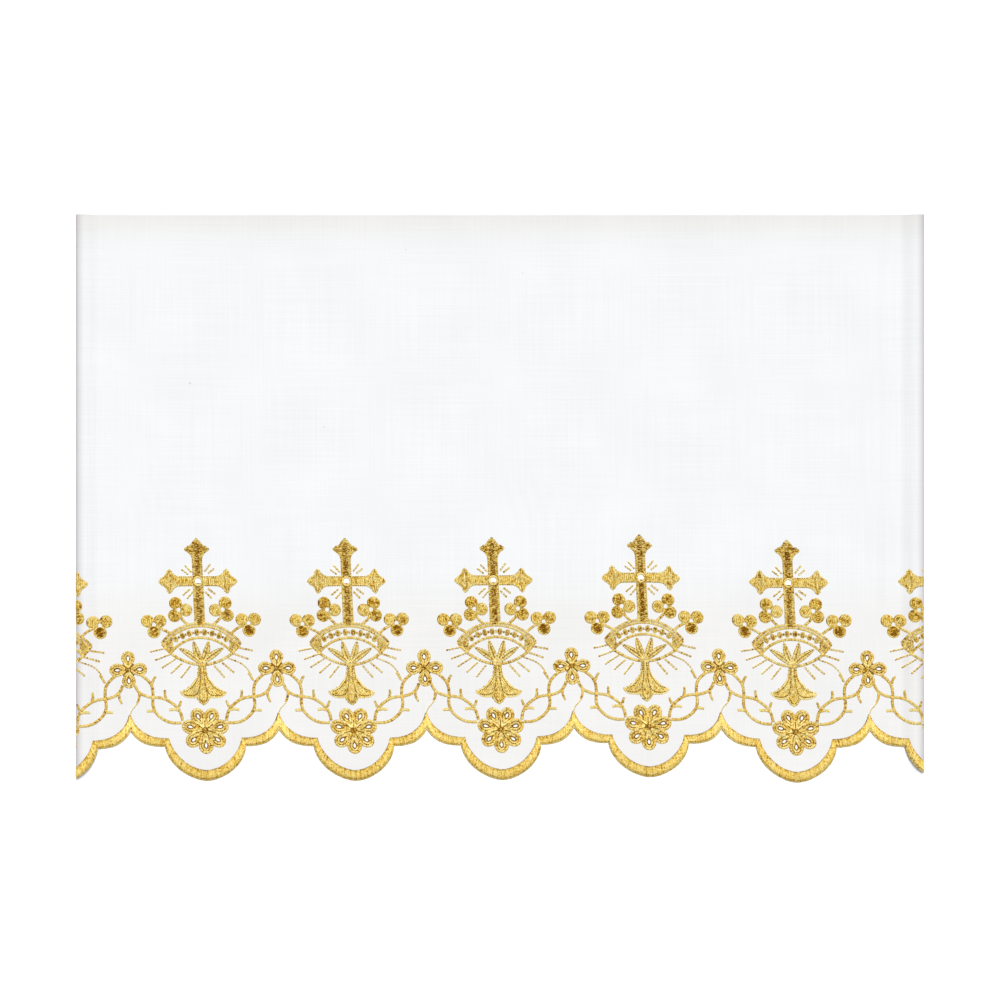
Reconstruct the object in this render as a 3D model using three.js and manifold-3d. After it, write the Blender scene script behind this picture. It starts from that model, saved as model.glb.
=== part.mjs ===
// Altar cloth: a white plain-weave cloth lying face up, both sides turned under in a soft fold,
// with a scalloped lower edge and a border of gold embroidery with cut eyelets.
// Millimetres. X runs across the cloth, Y from the scallops up to the plain top edge, and Z up
// from the surface that the cloth lies on.

import * as THREE from "three";
import Module from "manifold-3d";
import { mergeVertices } from "three/addons/utils/BufferGeometryUtils.js";

const wasm = await Module();
wasm.setup();

// The cloth and its turned-under sides
const CLOTH_WIDTH = 762.3;
const CLOTH_RISE = 509.1;
const CLOTH_THICKNESS = 1;
const FLAP_WIDTH = 30;
const FOLD_REACH = 6.5;
const FOLD_HEIGHT = 6;
const FOLD_STEPS = 8;
const SLOPE_STEPS = 4;
const LAYER_GAP = 0.3;
const FOLD_SLOPE_END = 22;
const FLAP_STEP_START = FLAP_WIDTH + 1.5;
const FLAP_STEP_END = 42;

// The embroidery's height above the cloth
const THREAD_GAP = 0.3;
const THREAD_HEIGHT = 1;

// The border's repeats: where each one's axis meets the hem line, and how far it hangs below it
const REPEAT_PITCH = 133;
const LEAN = 0.0445;
const REPEATS = [
  { axis: -396.9, drop: 3 },
  { axis: -263.4, drop: 0 },
  { axis: -129.7, drop: 0 },
  { axis: 2.4, drop: -0.8 },
  { axis: 135.2, drop: -3.3 },
  { axis: 267.8, drop: 1.6 },
  { axis: 402.2, drop: 0.1 },
];
const FIRST_WHOLE_REPEAT = 1;
const LAST_WHOLE_REPEAT = 5;

// The scalloped edge, outer line and inner line: a deep scallop's right half, from its lowest point
// up to the notch, and the shallow scallop beside it, from the notch to the cusp
const SCALLOP = {
  outer: {
    deepHalf: [
      [0, 0],
      [12.4, 3],
      [24.6, 10.6],
      [33.2, 21.4],
      [36.1, 31.3],
    ],
    shallow: [
      [36.1, 31.3],
      [44, 31.6],
      [54, 34.1],
      [61.9, 39.8],
      [66.5, 46.2],
    ],
  },
  inner: {
    deepHalf: [
      [0, 9.4],
      [10.8, 12],
      [20.3, 18.1],
      [27.1, 25.8],
      [32.6, 38.5],
    ],
    shallow: [
      [32.6, 38.5],
      [41.1, 39.2],
      [51.5, 42.6],
      [60.1, 49.2],
      [66.5, 61.4],
    ],
  },
};
const DEEP_HALF_STEPS = 5;
const SHALLOW_STEPS = 5;

// The cross: its arms end in a point between two horns, given by rows from the flare to the tip
const CROSS = {
  along: -0.4,
  up: 179.6,
  armReach: 35.1,
  topReach: 38.2,
  armHalf: 4.6,
  barHalf: 5.1,
  foot: -41,
};
const CROSS_END = [
  { inset: 18.6, side: 4.6 },
  { inset: 13.8, side: 6.6 },
  { inset: 11, side: 10.6 },
  { inset: 9, side: 11.4 },
  { inset: 7.2, side: 8.2 },
  { inset: 5.8, side: 5.4 },
  { inset: 2.4, side: 3.1 },
];
const CROSS_EYELET = { radius: 2.8, sides: 8 };

// The eye under the cross: a thick upper lid, a thin lower lid, and four leaves inside
const EYE = {
  corner: [35.1, 124.2],
  innerCorner: [26.4, 115.2],
  upperBow: 18,
  innerBow: 12.6,
  lowerBow: 21.3,
};
const LOWER_LID_WIDTH = 2.7;
const LID_STEPS = 8;
const LEAF_BASE = [0, 104.6];
const LEAF_WIDTH = 6.2;
const LEAF_TIPS = [
  { along: -20.4, up: 120 },
  { along: -6.9, up: 126.5 },
  { along: 6.9, up: 126.5 },
  { along: 20.4, up: 120 },
];
const LEAF_OUTLINE = [
  { along: 0.05, side: 0.35 },
  { along: 0.4, side: 1 },
  { along: 0.75, side: 0.7 },
];

// The three-lobed foot: one half, from the top of its stem down to the point of the middle lobe
const FOOT_HALF = [
  { along: 3.9, up: 106 },
  { along: 3.8, up: 98 },
  { along: 5.6, up: 92.8 },
  { along: 8.4, up: 88.9 },
  { along: 12.2, up: 84.6 },
  { along: 20.5, up: 80.2 },
  { along: 19.2, up: 77.6 },
  { along: 16, up: 75.2 },
  { along: 11, up: 74.3 },
  { along: 5.9, up: 75.4 },
  { along: 5.2, up: 72.8 },
];
const FOOT_POINT = [0, 67.9];

// Trefoils: three discs about a centre, the first disc's direction in degrees, and the stem
const TREFOIL = { spread: 6.1, radius: 5.8, sides: 8 };
const STEM_WIDTH = 2.2;
const TREFOILS = [
  { name: "inner_left", along: -18.8, up: 153.9, turn: 113, root: [-11, 137.5] },
  { name: "inner_right", along: 20.5, up: 154.1, turn: 66, root: [12.8, 137] },
  { name: "outer_left", along: -41.6, up: 141.1, turn: 30, root: [-27, 129.5] },
  { name: "outer_right", along: 43, up: 141.9, turn: 32, root: [27, 129.5] },
];

// Flowers: seven petals in each deep scallop, four petals on each sprig, an eyelet in each petal
const PETAL_OUTLINE = [
  { along: 0.06, side: 0.2 },
  { along: 0.36, side: 0.66 },
  { along: 0.62, side: 1 },
  { along: 0.87, side: 0.78 },
  { along: 1, side: 0.28 },
];
const FIRST_PETAL_TURN = -90;
const SCALLOP_FLOWER = { along: 0.4, up: 45.5, petals: 7, reach: 21.3, width: 13.2, eyeletAt: 13.6 };
const SPRIG_FLOWER = { along: 0.3, up: 101.3, petals: 4, reach: 16.8, width: 12.3, eyeletAt: 9.8 };
const PETAL_EYELET = { length: 6.6, width: 4.1 };

// The sprig's two vines on its left side and their twigs; the right side mirrors them
const VINE_WIDTH = 1.9;
const VINE_STEPS = 8;
const UPPER_VINE = [
  [-9, 97.4],
  [-15.6, 92.9],
  [-20.7, 85.6],
  [-21.4, 76],
  [-21.2, 66.8],
  [-26, 58.7],
  [-35.4, 53],
  [-44, 52.4],
];
const LOWER_VINE = [
  [-5, 91.5],
  [-7.2, 83.7],
  [-13, 78],
  [-23.5, 75.6],
  [-32.8, 73.6],
  [-40.8, 67.9],
  [-45.8, 59.8],
  [-46.9, 55.6],
];
const TWIG_WIDTH = 1.9;
const TWIGS = [
  [[-9.6, 80.4], [-6.8, 71]],
  [[-32.8, 73.4], [-32.1, 82]],
  [[-43.4, 64.8], [-46.2, 72]],
  [[-22, 63.8], [-15.2, 63.4]],
  [[-42.6, 65.4], [-35.2, 63.8]],
];

// Cutting prisms stand well clear of the folded cloth below and above
const CUTTER_BOTTOM = -5;
const CUTTER_TOP = 20;
const SPARE = 40;

const CLOTH_COLOUR = 0xf6f7f9;
const GOLD_COLOUR = 0xd8ae54;

// Solids and booleans

function toSolid(geometry) {
  const bare = geometry.clone();
  bare.deleteAttribute("normal");
  bare.deleteAttribute("uv");
  const merged = mergeVertices(bare, 1e-4);
  const mesh = new wasm.Mesh({
    numProp: 3,
    vertProperties: new Float32Array(merged.attributes.position.array),
    triVerts: new Uint32Array(merged.index.array),
  });
  return new wasm.Manifold(mesh);
}

function toGeometry(solid) {
  const mesh = solid.getMesh();
  const geometry = new THREE.BufferGeometry();
  geometry.setAttribute("position", new THREE.BufferAttribute(mesh.vertProperties, 3));
  geometry.setIndex(new THREE.BufferAttribute(mesh.triVerts, 1));
  geometry.computeVertexNormals();
  return geometry;
}

function joined(solids) {
  return solids.reduce((whole, solid) => whole.add(solid));
}

// Flat outlines, as lists of [along, up] points

function mirrored(points) {
  return points.map(([along, up]) => [-along, up]).reverse();
}

function bowed(start, end, bow, steps) {
  const from = new THREE.Vector2(...start);
  const to = new THREE.Vector2(...end);
  const chord = to.clone().sub(from).normalize();
  const control = from.clone().add(to).multiplyScalar(0.5);
  control.x += 2 * bow * chord.y;
  control.y -= 2 * bow * chord.x;
  const curve = new THREE.QuadraticBezierCurve(from, control, to);
  return curve.getPoints(steps).map((point) => [point.x, point.y]);
}

function smooth(route, steps) {
  const curve = new THREE.SplineCurve(route.map(([x, y]) => new THREE.Vector2(x, y)));
  return curve.getSpacedPoints(steps).map((point) => [point.x, point.y]);
}

function polygon(centre, radius, sides, turn) {
  const points = [];
  for (let side = 0; side < sides; side += 1) {
    const angle = THREE.MathUtils.degToRad(turn) + (2 * Math.PI * side) / sides;
    points.push([centre[0] + radius * Math.cos(angle), centre[1] + radius * Math.sin(angle)]);
  }
  return points;
}

function turned(points, degrees, centre) {
  const cosine = Math.cos(THREE.MathUtils.degToRad(degrees));
  const sine = Math.sin(THREE.MathUtils.degToRad(degrees));
  return points.map(([x, y]) => [
    centre[0] + x * cosine - y * sine,
    centre[1] + x * sine + y * cosine,
  ]);
}

// A blade lies along +X: its rows give the right side, and the left side mirrors it
function blade(rows, reach, width) {
  const right = rows.map(({ along, side }) => [along * reach, (-side * width) / 2]);
  const left = rows.map(({ along, side }) => [along * reach, (side * width) / 2]).reverse();
  return [...right, ...left];
}

function ribbon(route, width, steps) {
  const curve = new THREE.SplineCurve(route.map(([x, y]) => new THREE.Vector2(x, y)));
  const left = [];
  const right = [];
  for (let step = 0; step <= steps; step += 1) {
    const at = curve.getPointAt(step / steps);
    const way = curve.getTangentAt(step / steps);
    left.push([at.x - (way.y * width) / 2, at.y + (way.x * width) / 2]);
    right.push([at.x + (way.y * width) / 2, at.y - (way.x * width) / 2]);
  }
  return [...left, ...right.reverse()];
}

// From the border's own measure to the cloth: repeats stand unevenly, and their axes lean
function onCloth(repeat, [along, up]) {
  const place = repeat + along / REPEAT_PITCH;
  const left = THREE.MathUtils.clamp(Math.floor(place), 0, REPEATS.length - 2);
  const share = place - left;
  const eased = THREE.MathUtils.smoothstep(share, 0, 1);
  const x = THREE.MathUtils.lerp(REPEATS[left].axis, REPEATS[left + 1].axis, share) - LEAN * up;
  const y = up - THREE.MathUtils.lerp(REPEATS[left].drop, REPEATS[left + 1].drop, eased);
  return new THREE.Vector2(x, y);
}

function prism(repeat, outline) {
  const shape = new THREE.Shape(outline.map((point) => onCloth(repeat, point)));
  const depth = CUTTER_TOP - CUTTER_BOTTOM;
  const geometry = new THREE.ExtrudeGeometry(shape, { depth, bevelEnabled: false });
  geometry.translate(0, 0, CUTTER_BOTTOM);
  return toSolid(geometry);
}

// The cloth's middle line from one flap's free end round to the other's, as [x, z] points
function foldHalf() {
  const edge = CLOTH_WIDTH / 2;
  const lowest = CLOTH_THICKNESS / 2;
  const rise = (FOLD_HEIGHT - CLOTH_THICKNESS) / 2;
  const turnCentre = edge - CLOTH_THICKNESS / 2 - FOLD_REACH;
  const aboveFlap = CLOTH_THICKNESS + LAYER_GAP + CLOTH_THICKNESS / 2;
  const points = [];
  for (let step = 0; step < SLOPE_STEPS; step += 1) {
    const share = step / SLOPE_STEPS;
    const x = THREE.MathUtils.lerp(edge - FLAP_STEP_END, edge - FLAP_STEP_START, share);
    points.push([x, THREE.MathUtils.lerp(lowest, aboveFlap, THREE.MathUtils.smoothstep(share, 0, 1))]);
  }
  points.push([edge - FLAP_STEP_START, aboveFlap]);
  for (let step = 0; step < SLOPE_STEPS; step += 1) {
    const share = step / SLOPE_STEPS;
    const x = THREE.MathUtils.lerp(edge - FOLD_SLOPE_END, turnCentre, share);
    const top = lowest + 2 * rise;
    points.push([x, THREE.MathUtils.lerp(aboveFlap, top, THREE.MathUtils.smoothstep(share, 0, 1))]);
  }
  for (let step = 0; step <= FOLD_STEPS; step += 1) {
    const angle = Math.PI / 2 - (Math.PI * step) / FOLD_STEPS;
    points.push([turnCentre + FOLD_REACH * Math.cos(angle), lowest + rise + rise * Math.sin(angle)]);
  }
  points.push([edge - FLAP_WIDTH, lowest]);
  return points;
}

function beside(path, distance) {
  return path.map(([x, z], index) => {
    const before = path[Math.max(index - 1, 0)];
    const after = path[Math.min(index + 1, path.length - 1)];
    const way = new THREE.Vector2(after[0] - before[0], after[1] - before[1]).normalize();
    return new THREE.Vector2(x - way.y * distance, z + way.x * distance);
  });
}

// A length of folded sheet along Y, between two distances from the cloth's middle line
function swept(path, under, over) {
  const shape = new THREE.Shape([...beside(path, over), ...beside(path, under).reverse()]);
  const length = CLOTH_RISE + SPARE;
  const geometry = new THREE.ExtrudeGeometry(shape, { depth: length, bevelEnabled: false });
  geometry.rotateX(Math.PI / 2);
  geometry.translate(0, CLOTH_RISE, 0);
  return toSolid(geometry);
}

const rightHalf = foldHalf();
const wholePath = [...mirrored(rightHalf), ...rightHalf];
const facePath = wholePath.slice(FOLD_STEPS / 2 + 1, wholePath.length - FOLD_STEPS / 2 - 1);
const foldedSheet = swept(wholePath, -CLOTH_THICKNESS / 2, CLOTH_THICKNESS / 2);
const threadBase = CLOTH_THICKNESS / 2 + THREAD_GAP;
const threadLayer = swept(facePath, threadBase, threadBase + THREAD_HEIGHT);

// The scalloped line of one repeat, left to right
function scallopLine({ deepHalf, shallow }) {
  const deep = smooth([...mirrored(deepHalf).slice(0, -1), ...deepHalf], 2 * DEEP_HALF_STEPS);
  const right = smooth(shallow, SHALLOW_STEPS);
  return [...mirrored(right).slice(0, -1), ...deep, ...right.slice(1, -1)];
}

function scallopsAcross(line) {
  const points = [];
  REPEATS.forEach((repeat, index) => {
    scallopLine(line).forEach(([along, up]) => points.push([index * REPEAT_PITCH + along, up]));
  });
  return points;
}

// Embroidered motifs

function armEnd(reach, turn) {
  const points = [
    ...CROSS_END.map(({ inset, side }) => [reach - inset, -side]),
    [reach, 0],
    ...CROSS_END.map(({ inset, side }) => [reach - inset, side]).reverse(),
  ];
  return turned(points, turn, [CROSS.along, CROSS.up]);
}

function crossCorner(side, up) {
  return [CROSS.along + side * CROSS.barHalf, CROSS.up + up];
}

function crossOutline() {
  return [
    crossCorner(1, CROSS.foot),
    crossCorner(1, -CROSS.armHalf),
    ...armEnd(CROSS.armReach, 0),
    crossCorner(1, CROSS.armHalf),
    ...armEnd(CROSS.topReach, 90),
    crossCorner(-1, CROSS.armHalf),
    ...armEnd(CROSS.armReach, 180),
    crossCorner(-1, -CROSS.armHalf),
    crossCorner(-1, CROSS.foot),
  ];
}

function crossEyelet() {
  return polygon([CROSS.along, CROSS.up], CROSS_EYELET.radius, CROSS_EYELET.sides, 0);
}

function upperLid() {
  const [cornerAlong, cornerUp] = EYE.corner;
  const [innerAlong, innerUp] = EYE.innerCorner;
  const outer = bowed([-cornerAlong, cornerUp], [cornerAlong, cornerUp], -EYE.upperBow, LID_STEPS);
  const inner = bowed([innerAlong, innerUp], [-innerAlong, innerUp], EYE.innerBow, LID_STEPS);
  return [...outer, ...inner];
}

function lowerLid() {
  const [along, up] = EYE.corner;
  const outer = bowed([-along, up], [along, up], EYE.lowerBow, LID_STEPS);
  const inner = bowed([along, up], [-along, up], LOWER_LID_WIDTH - EYE.lowerBow, LID_STEPS);
  return [...outer, ...inner.slice(1, -1)];
}

function leaf(tip) {
  const reach = Math.hypot(tip.along - LEAF_BASE[0], tip.up - LEAF_BASE[1]);
  const turn = THREE.MathUtils.radToDeg(Math.atan2(tip.up - LEAF_BASE[1], tip.along - LEAF_BASE[0]));
  const points = blade(LEAF_OUTLINE, reach, LEAF_WIDTH);
  points.splice(LEAF_OUTLINE.length, 0, [reach, 0]);
  return turned(points, turn, LEAF_BASE);
}

function footOutline() {
  const right = FOOT_HALF.map(({ along, up }) => [along, up]);
  return [...right, FOOT_POINT, ...mirrored(right)];
}

function trefoilOutlines(trefoil) {
  const centre = [trefoil.along, trefoil.up];
  return polygon(centre, TREFOIL.spread, 3, trefoil.turn).map((middle, disc) => {
    const flatInwards = trefoil.turn + 120 * disc + 180 / TREFOIL.sides;
    return polygon(middle, TREFOIL.radius, TREFOIL.sides, flatInwards);
  });
}

// The stem runs from its root in the lid to the seam between the two nearest discs
function trefoilWithStem(trefoil) {
  const centre = new THREE.Vector2(trefoil.along, trefoil.up);
  const root = new THREE.Vector2(...trefoil.root);
  const seam = root.clone().sub(centre).setLength(TREFOIL.spread / 2).add(centre);
  return [...trefoilOutlines(trefoil), ribbon([trefoil.root, [seam.x, seam.y]], STEM_WIDTH, 1)];
}

function petalOutlines(flower) {
  const outlines = [];
  for (let petal = 0; petal < flower.petals; petal += 1) {
    const turn = FIRST_PETAL_TURN + (360 * petal) / flower.petals;
    outlines.push(turned(blade(PETAL_OUTLINE, flower.reach, flower.width), turn, [flower.along, flower.up]));
  }
  return outlines;
}

function petalEyelets(flower) {
  const { length, width } = PETAL_EYELET;
  const almond = [
    [flower.eyeletAt - length / 2, 0],
    [flower.eyeletAt - length / 6, -width / 2],
    [flower.eyeletAt + length / 4, -width / 2],
    [flower.eyeletAt + length / 2, 0],
    [flower.eyeletAt + length / 4, width / 2],
    [flower.eyeletAt - length / 6, width / 2],
  ];
  const outlines = [];
  for (let petal = 0; petal < flower.petals; petal += 1) {
    const turn = FIRST_PETAL_TURN + (360 * petal) / flower.petals;
    outlines.push(turned(almond, turn, [flower.along, flower.up]));
  }
  return outlines;
}

function vineOutlines() {
  const vines = [UPPER_VINE, LOWER_VINE].map((route) => ribbon(route, VINE_WIDTH, VINE_STEPS));
  const left = [...vines, ...TWIGS.map((twig) => ribbon(twig, TWIG_WIDTH, 1))];
  return [...left, ...left.map(mirrored)];
}

// Thread laid on the cloth over the outlines, with the eyelets left open
function stitched(repeat, outlines, eyelets) {
  const solid = joined(outlines.map((outline) => prism(repeat, outline)));
  const open = eyelets.reduce((whole, outline) => whole.subtract(prism(repeat, outline)), solid);
  return toGeometry(open.intersect(threadLayer));
}

// The whole cloth

const part = new THREE.Group();

function addMesh(name, geometry, colour, roughness, metalness) {
  const material = new THREE.MeshStandardMaterial({ color: colour, roughness, metalness });
  const mesh = new THREE.Mesh(geometry, material);
  mesh.name = name;
  part.add(mesh);
}

function addGold(name, geometry) {
  addMesh(name, geometry, GOLD_COLOUR, 0.45, 0.6);
}

// Sprigs stand between two repeats, half a pitch to the right of the left one
function addSprigs(eyelets) {
  for (let repeat = 0; repeat < REPEATS.length - 1; repeat += 1) {
    const place = repeat + 0.5;
    const outlines = [...petalOutlines(SPRIG_FLOWER), ...vineOutlines()];
    const open = petalEyelets(SPRIG_FLOWER);
    addGold(`sprig_${repeat + 1}`, stitched(place, outlines, open));
    open.forEach((outline) => eyelets.push(prism(place, outline)));
  }
}

function addWholeMotifs(eyelets) {
  for (let repeat = FIRST_WHOLE_REPEAT; repeat <= LAST_WHOLE_REPEAT; repeat += 1) {
    const motif = [
      crossOutline(),
      upperLid(),
      lowerLid(),
      ...LEAF_TIPS.map(leaf),
      footOutline(),
      ...TREFOILS.flatMap(trefoilWithStem),
    ];
    const centre = crossEyelet();
    const petals = petalEyelets(SCALLOP_FLOWER);
    addGold(`cross_motif_${repeat}`, stitched(repeat, motif, [centre]));
    addGold(`scallop_flower_${repeat}`, stitched(repeat, petalOutlines(SCALLOP_FLOWER), petals));
    [centre, ...petals].forEach((outline) => eyelets.push(prism(repeat, outline)));
  }
}

// At each side the fold cuts through one more repeat, and only its near half shows
function addCutMotif(side, repeat, armTurn, innerName, outerName) {
  const inner = TREFOILS.find(({ name }) => name === innerName);
  const outer = TREFOILS.find(({ name }) => name === outerName);
  addGold(`${side}_cut_cross_arm`, stitched(repeat, [armEnd(CROSS.armReach, armTurn)], []));
  addGold(`${side}_cut_trefoil`, stitched(repeat, trefoilOutlines(inner), []));
  addGold(`${side}_cut_eye`, stitched(repeat, [upperLid(), lowerLid(), ...trefoilWithStem(outer)], []));
}

function addBorder() {
  const outline = [...scallopsAcross(SCALLOP.outer), ...scallopsAcross(SCALLOP.inner).reverse()];
  addGold("scalloped_border", stitched(0, [outline], []));
}

function addCloth(eyelets) {
  const last = (REPEATS.length - 1) * REPEAT_PITCH;
  const outline = [
    ...scallopsAcross(SCALLOP.outer),
    [last + REPEAT_PITCH, CLOTH_RISE + SPARE],
    [-REPEAT_PITCH, CLOTH_RISE + SPARE],
  ];
  const sheet = foldedSheet.intersect(prism(0, outline));
  const open = sheet.subtract(joined(eyelets));
  addMesh("cloth", toGeometry(open), CLOTH_COLOUR, 0.9, 0);
}

const eyelets = [];
addSprigs(eyelets);
addWholeMotifs(eyelets);
addCutMotif("left", 0, 0, "inner_right", "outer_right");
addCutMotif("right", REPEATS.length - 1, 180, "inner_left", "outer_left");
addBorder();
addCloth(eyelets);

// The origin lies under the middle of the whole cloth, on the surface it rests on
const bounds = new THREE.Box3().setFromObject(part);
const middle = bounds.getCenter(new THREE.Vector3());
part.position.set(-middle.x, -middle.y, -bounds.min.z);

export default part;
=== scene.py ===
"""Altar cloth: white plain weave laid face up, its sides turned under, with a gold embroidered border.

The cloth is one thin sheet on the folds of its solid. All the gold is laid stitch by stitch: a short
and a long stitch are each modelled once and copied by arrays, so that every satin column, filled
shape and running line is made of threads. Sizes are millimetres in the border's own measure (along
the hem, and up from it) until a mesh is made, and metres in the scene.
"""

import logging
import math
from dataclasses import dataclass, field
from enum import Enum
from typing import ClassVar, Iterable, Sequence

import bpy
import numpy as np
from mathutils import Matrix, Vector
from mathutils.geometry import delaunay_2d_cdt


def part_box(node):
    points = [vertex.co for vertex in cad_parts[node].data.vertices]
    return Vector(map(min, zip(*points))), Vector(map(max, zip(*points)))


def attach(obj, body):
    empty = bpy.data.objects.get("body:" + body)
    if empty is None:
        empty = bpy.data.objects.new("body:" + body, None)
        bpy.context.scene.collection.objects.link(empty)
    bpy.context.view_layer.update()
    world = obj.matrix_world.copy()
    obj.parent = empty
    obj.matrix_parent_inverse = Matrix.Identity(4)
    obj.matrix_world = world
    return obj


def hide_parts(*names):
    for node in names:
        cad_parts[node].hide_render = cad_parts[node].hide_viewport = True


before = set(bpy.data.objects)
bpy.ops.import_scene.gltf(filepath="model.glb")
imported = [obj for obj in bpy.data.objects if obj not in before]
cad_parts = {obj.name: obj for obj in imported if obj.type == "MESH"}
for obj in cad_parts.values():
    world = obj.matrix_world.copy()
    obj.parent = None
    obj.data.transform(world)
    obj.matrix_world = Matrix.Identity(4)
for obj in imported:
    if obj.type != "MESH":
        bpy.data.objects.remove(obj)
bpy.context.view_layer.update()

logging.basicConfig(level=logging.INFO, format="%(message)s")
LOG = logging.getLogger("altar_cloth")

MM = 0.001
BODY = "root"
KNOT_STEPS = 12

Row = Sequence[float]
Pair = tuple[float, float]
Colour = tuple[float, float, float]
Model = tuple[np.ndarray, np.ndarray]


class Slot(Enum):
    """The record's material slots."""

    CLOTH = "cloth"
    GOLD = "gold_thread"


class Side(Enum):
    """A side of the cloth or of a motif, as the sign of its place along the hem."""

    LEFT = -1
    RIGHT = 1

    @property
    def flip(self) -> np.ndarray:
        """What points of the right side are multiplied by to lie on this side."""
        return np.array([float(self.value), 1.0])


def eased(share: np.ndarray) -> np.ndarray:
    """Smooth rise from 0 to 1 with level ends.

    Args:
        share: places between the two ends, clipped to 0 and 1.

    Returns:
        The eased shares.
    """
    held = np.clip(share, 0.0, 1.0)
    return held * held * (3.0 - 2.0 * held)


def rows(points: Iterable[Row]) -> np.ndarray:
    """Turns rows of (along, up) into an array."""
    return np.array([tuple(point) for point in points], float)


def mirrored(points: np.ndarray) -> np.ndarray:
    """The same points on the other side of the motif's axis."""
    return points * Side.LEFT.flip


def turned(points: np.ndarray, degrees: float, centre: Row = (0.0, 0.0)) -> np.ndarray:
    """Turns points about the origin, then moves them to a centre.

    Args:
        points: rows of (x, y).
        degrees: the turn, anticlockwise.
        centre: where the origin goes.

    Returns:
        The turned and moved rows.
    """
    angle = math.radians(degrees)
    cosine, sine = math.cos(angle), math.sin(angle)
    return points @ np.array([[cosine, sine], [-sine, cosine]]) + np.array(centre)


def bowed(start: Row, end: Row, bow: float, steps: int) -> np.ndarray:
    """A shallow curve from start to end that stands out to the right of its chord.

    Args:
        start: first point.
        end: last point.
        bow: how far the middle stands out, negative to the left.
        steps: stretches along the curve.

    Returns:
        Rows of (along, up).
    """
    first, last = np.array(start, float), np.array(end, float)
    chord = (last - first) / np.linalg.norm(last - first)
    control = (first + last) / 2 + 2 * bow * np.array([chord[1], -chord[0]])
    share = np.linspace(0, 1, steps + 1)[:, None]
    return (1 - share) ** 2 * first + 2 * share * (1 - share) * control + share**2 * last


def way_along(line: np.ndarray) -> np.ndarray:
    """How far along a line each of its points lies."""
    return np.concatenate([[0.0], np.cumsum(np.linalg.norm(np.diff(line, axis=0), axis=1))])


def points_at(line: np.ndarray, way: np.ndarray, at: np.ndarray) -> np.ndarray:
    """The points of a line at places along it.

    Args:
        line: its points.
        way: how far along it they lie.
        at: the wanted places.

    Returns:
        A row for each place.
    """
    return np.column_stack([np.interp(at, way, line[:, axis]) for axis in (0, 1)])


def evenly(line: np.ndarray, steps: int) -> np.ndarray:
    """Puts points an equal way apart on a line of points."""
    way = way_along(line)
    return points_at(line, way, np.linspace(0, way[-1], steps + 1))


def closed(loop: np.ndarray) -> np.ndarray:
    """A loop with its first point again at its end."""
    return np.vstack([loop, loop[:1]])


def smooth_route(points: Iterable[Row], steps: int) -> np.ndarray:
    """A smooth curve through points, evenly spaced.

    Args:
        points: rows of (along, up) that the curve passes through.
        steps: stretches along the curve.

    Returns:
        Rows of (along, up), an equal way apart.
    """
    knots = rows(points)
    ends = np.vstack([2 * knots[0] - knots[1], knots, 2 * knots[-1] - knots[-2]])
    fine = []
    for before, start, end, after in zip(ends, ends[1:], ends[2:], ends[3:]):
        share = np.linspace(0, 1, KNOT_STEPS, endpoint=False)[:, None]
        fine.append(
            start
            + 0.5 * share * (end - before)
            + share**2 * (before - 2.5 * start + 2 * end - 0.5 * after)
            + share**3 * (1.5 * (start - end) + 0.5 * (after - before))
        )
    return evenly(np.vstack([*fine, knots[-1:]]), steps)


def sideways(line: np.ndarray) -> np.ndarray:
    """Unit vectors to the left of a line at each of its points."""
    way = np.gradient(line, axis=0)
    way /= np.linalg.norm(way, axis=1)[:, None]
    return np.column_stack([-way[:, 1], way[:, 0]])


@dataclass(frozen=True)
class Repeat:
    """One repeat of the border: where its axis meets the hem line, and how far it hangs below."""

    axis: float
    drop: float


@dataclass(frozen=True)
class BorderMap:
    """Places the border's own measure on the cloth: repeats stand unevenly and lean a little."""

    pitch: float = 133.0
    lean: float = 0.0445
    repeats: tuple[Repeat, ...] = (
        Repeat(-396.9, 3.0),
        Repeat(-263.4, 0.0),
        Repeat(-129.7, 0.0),
        Repeat(2.4, -0.8),
        Repeat(135.2, -3.3),
        Repeat(267.8, 1.6),
        Repeat(402.2, 0.1),
    )

    def to_cloth(self, repeat: float, points: np.ndarray) -> np.ndarray:
        """Moves points of one repeat to the cloth.

        Args:
            repeat: the repeat's number; a half stands between two of them.
            points: rows of (along, up) from the repeat's axis and the hem line.

        Returns:
            Rows of (x, y) on the cloth, y from the hem line.
        """
        axes = np.array([one.axis for one in self.repeats])
        drops = np.array([one.drop for one in self.repeats])
        place = repeat + points[:, 0] / self.pitch
        left = np.clip(np.floor(place).astype(int), 0, len(axes) - 2)
        share = place - left
        across = axes[left] + (axes[left + 1] - axes[left]) * share - self.lean * points[:, 1]
        hang = drops[left] + (drops[left + 1] - drops[left]) * eased(share)
        return np.column_stack([across, points[:, 1] - hang])


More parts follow.
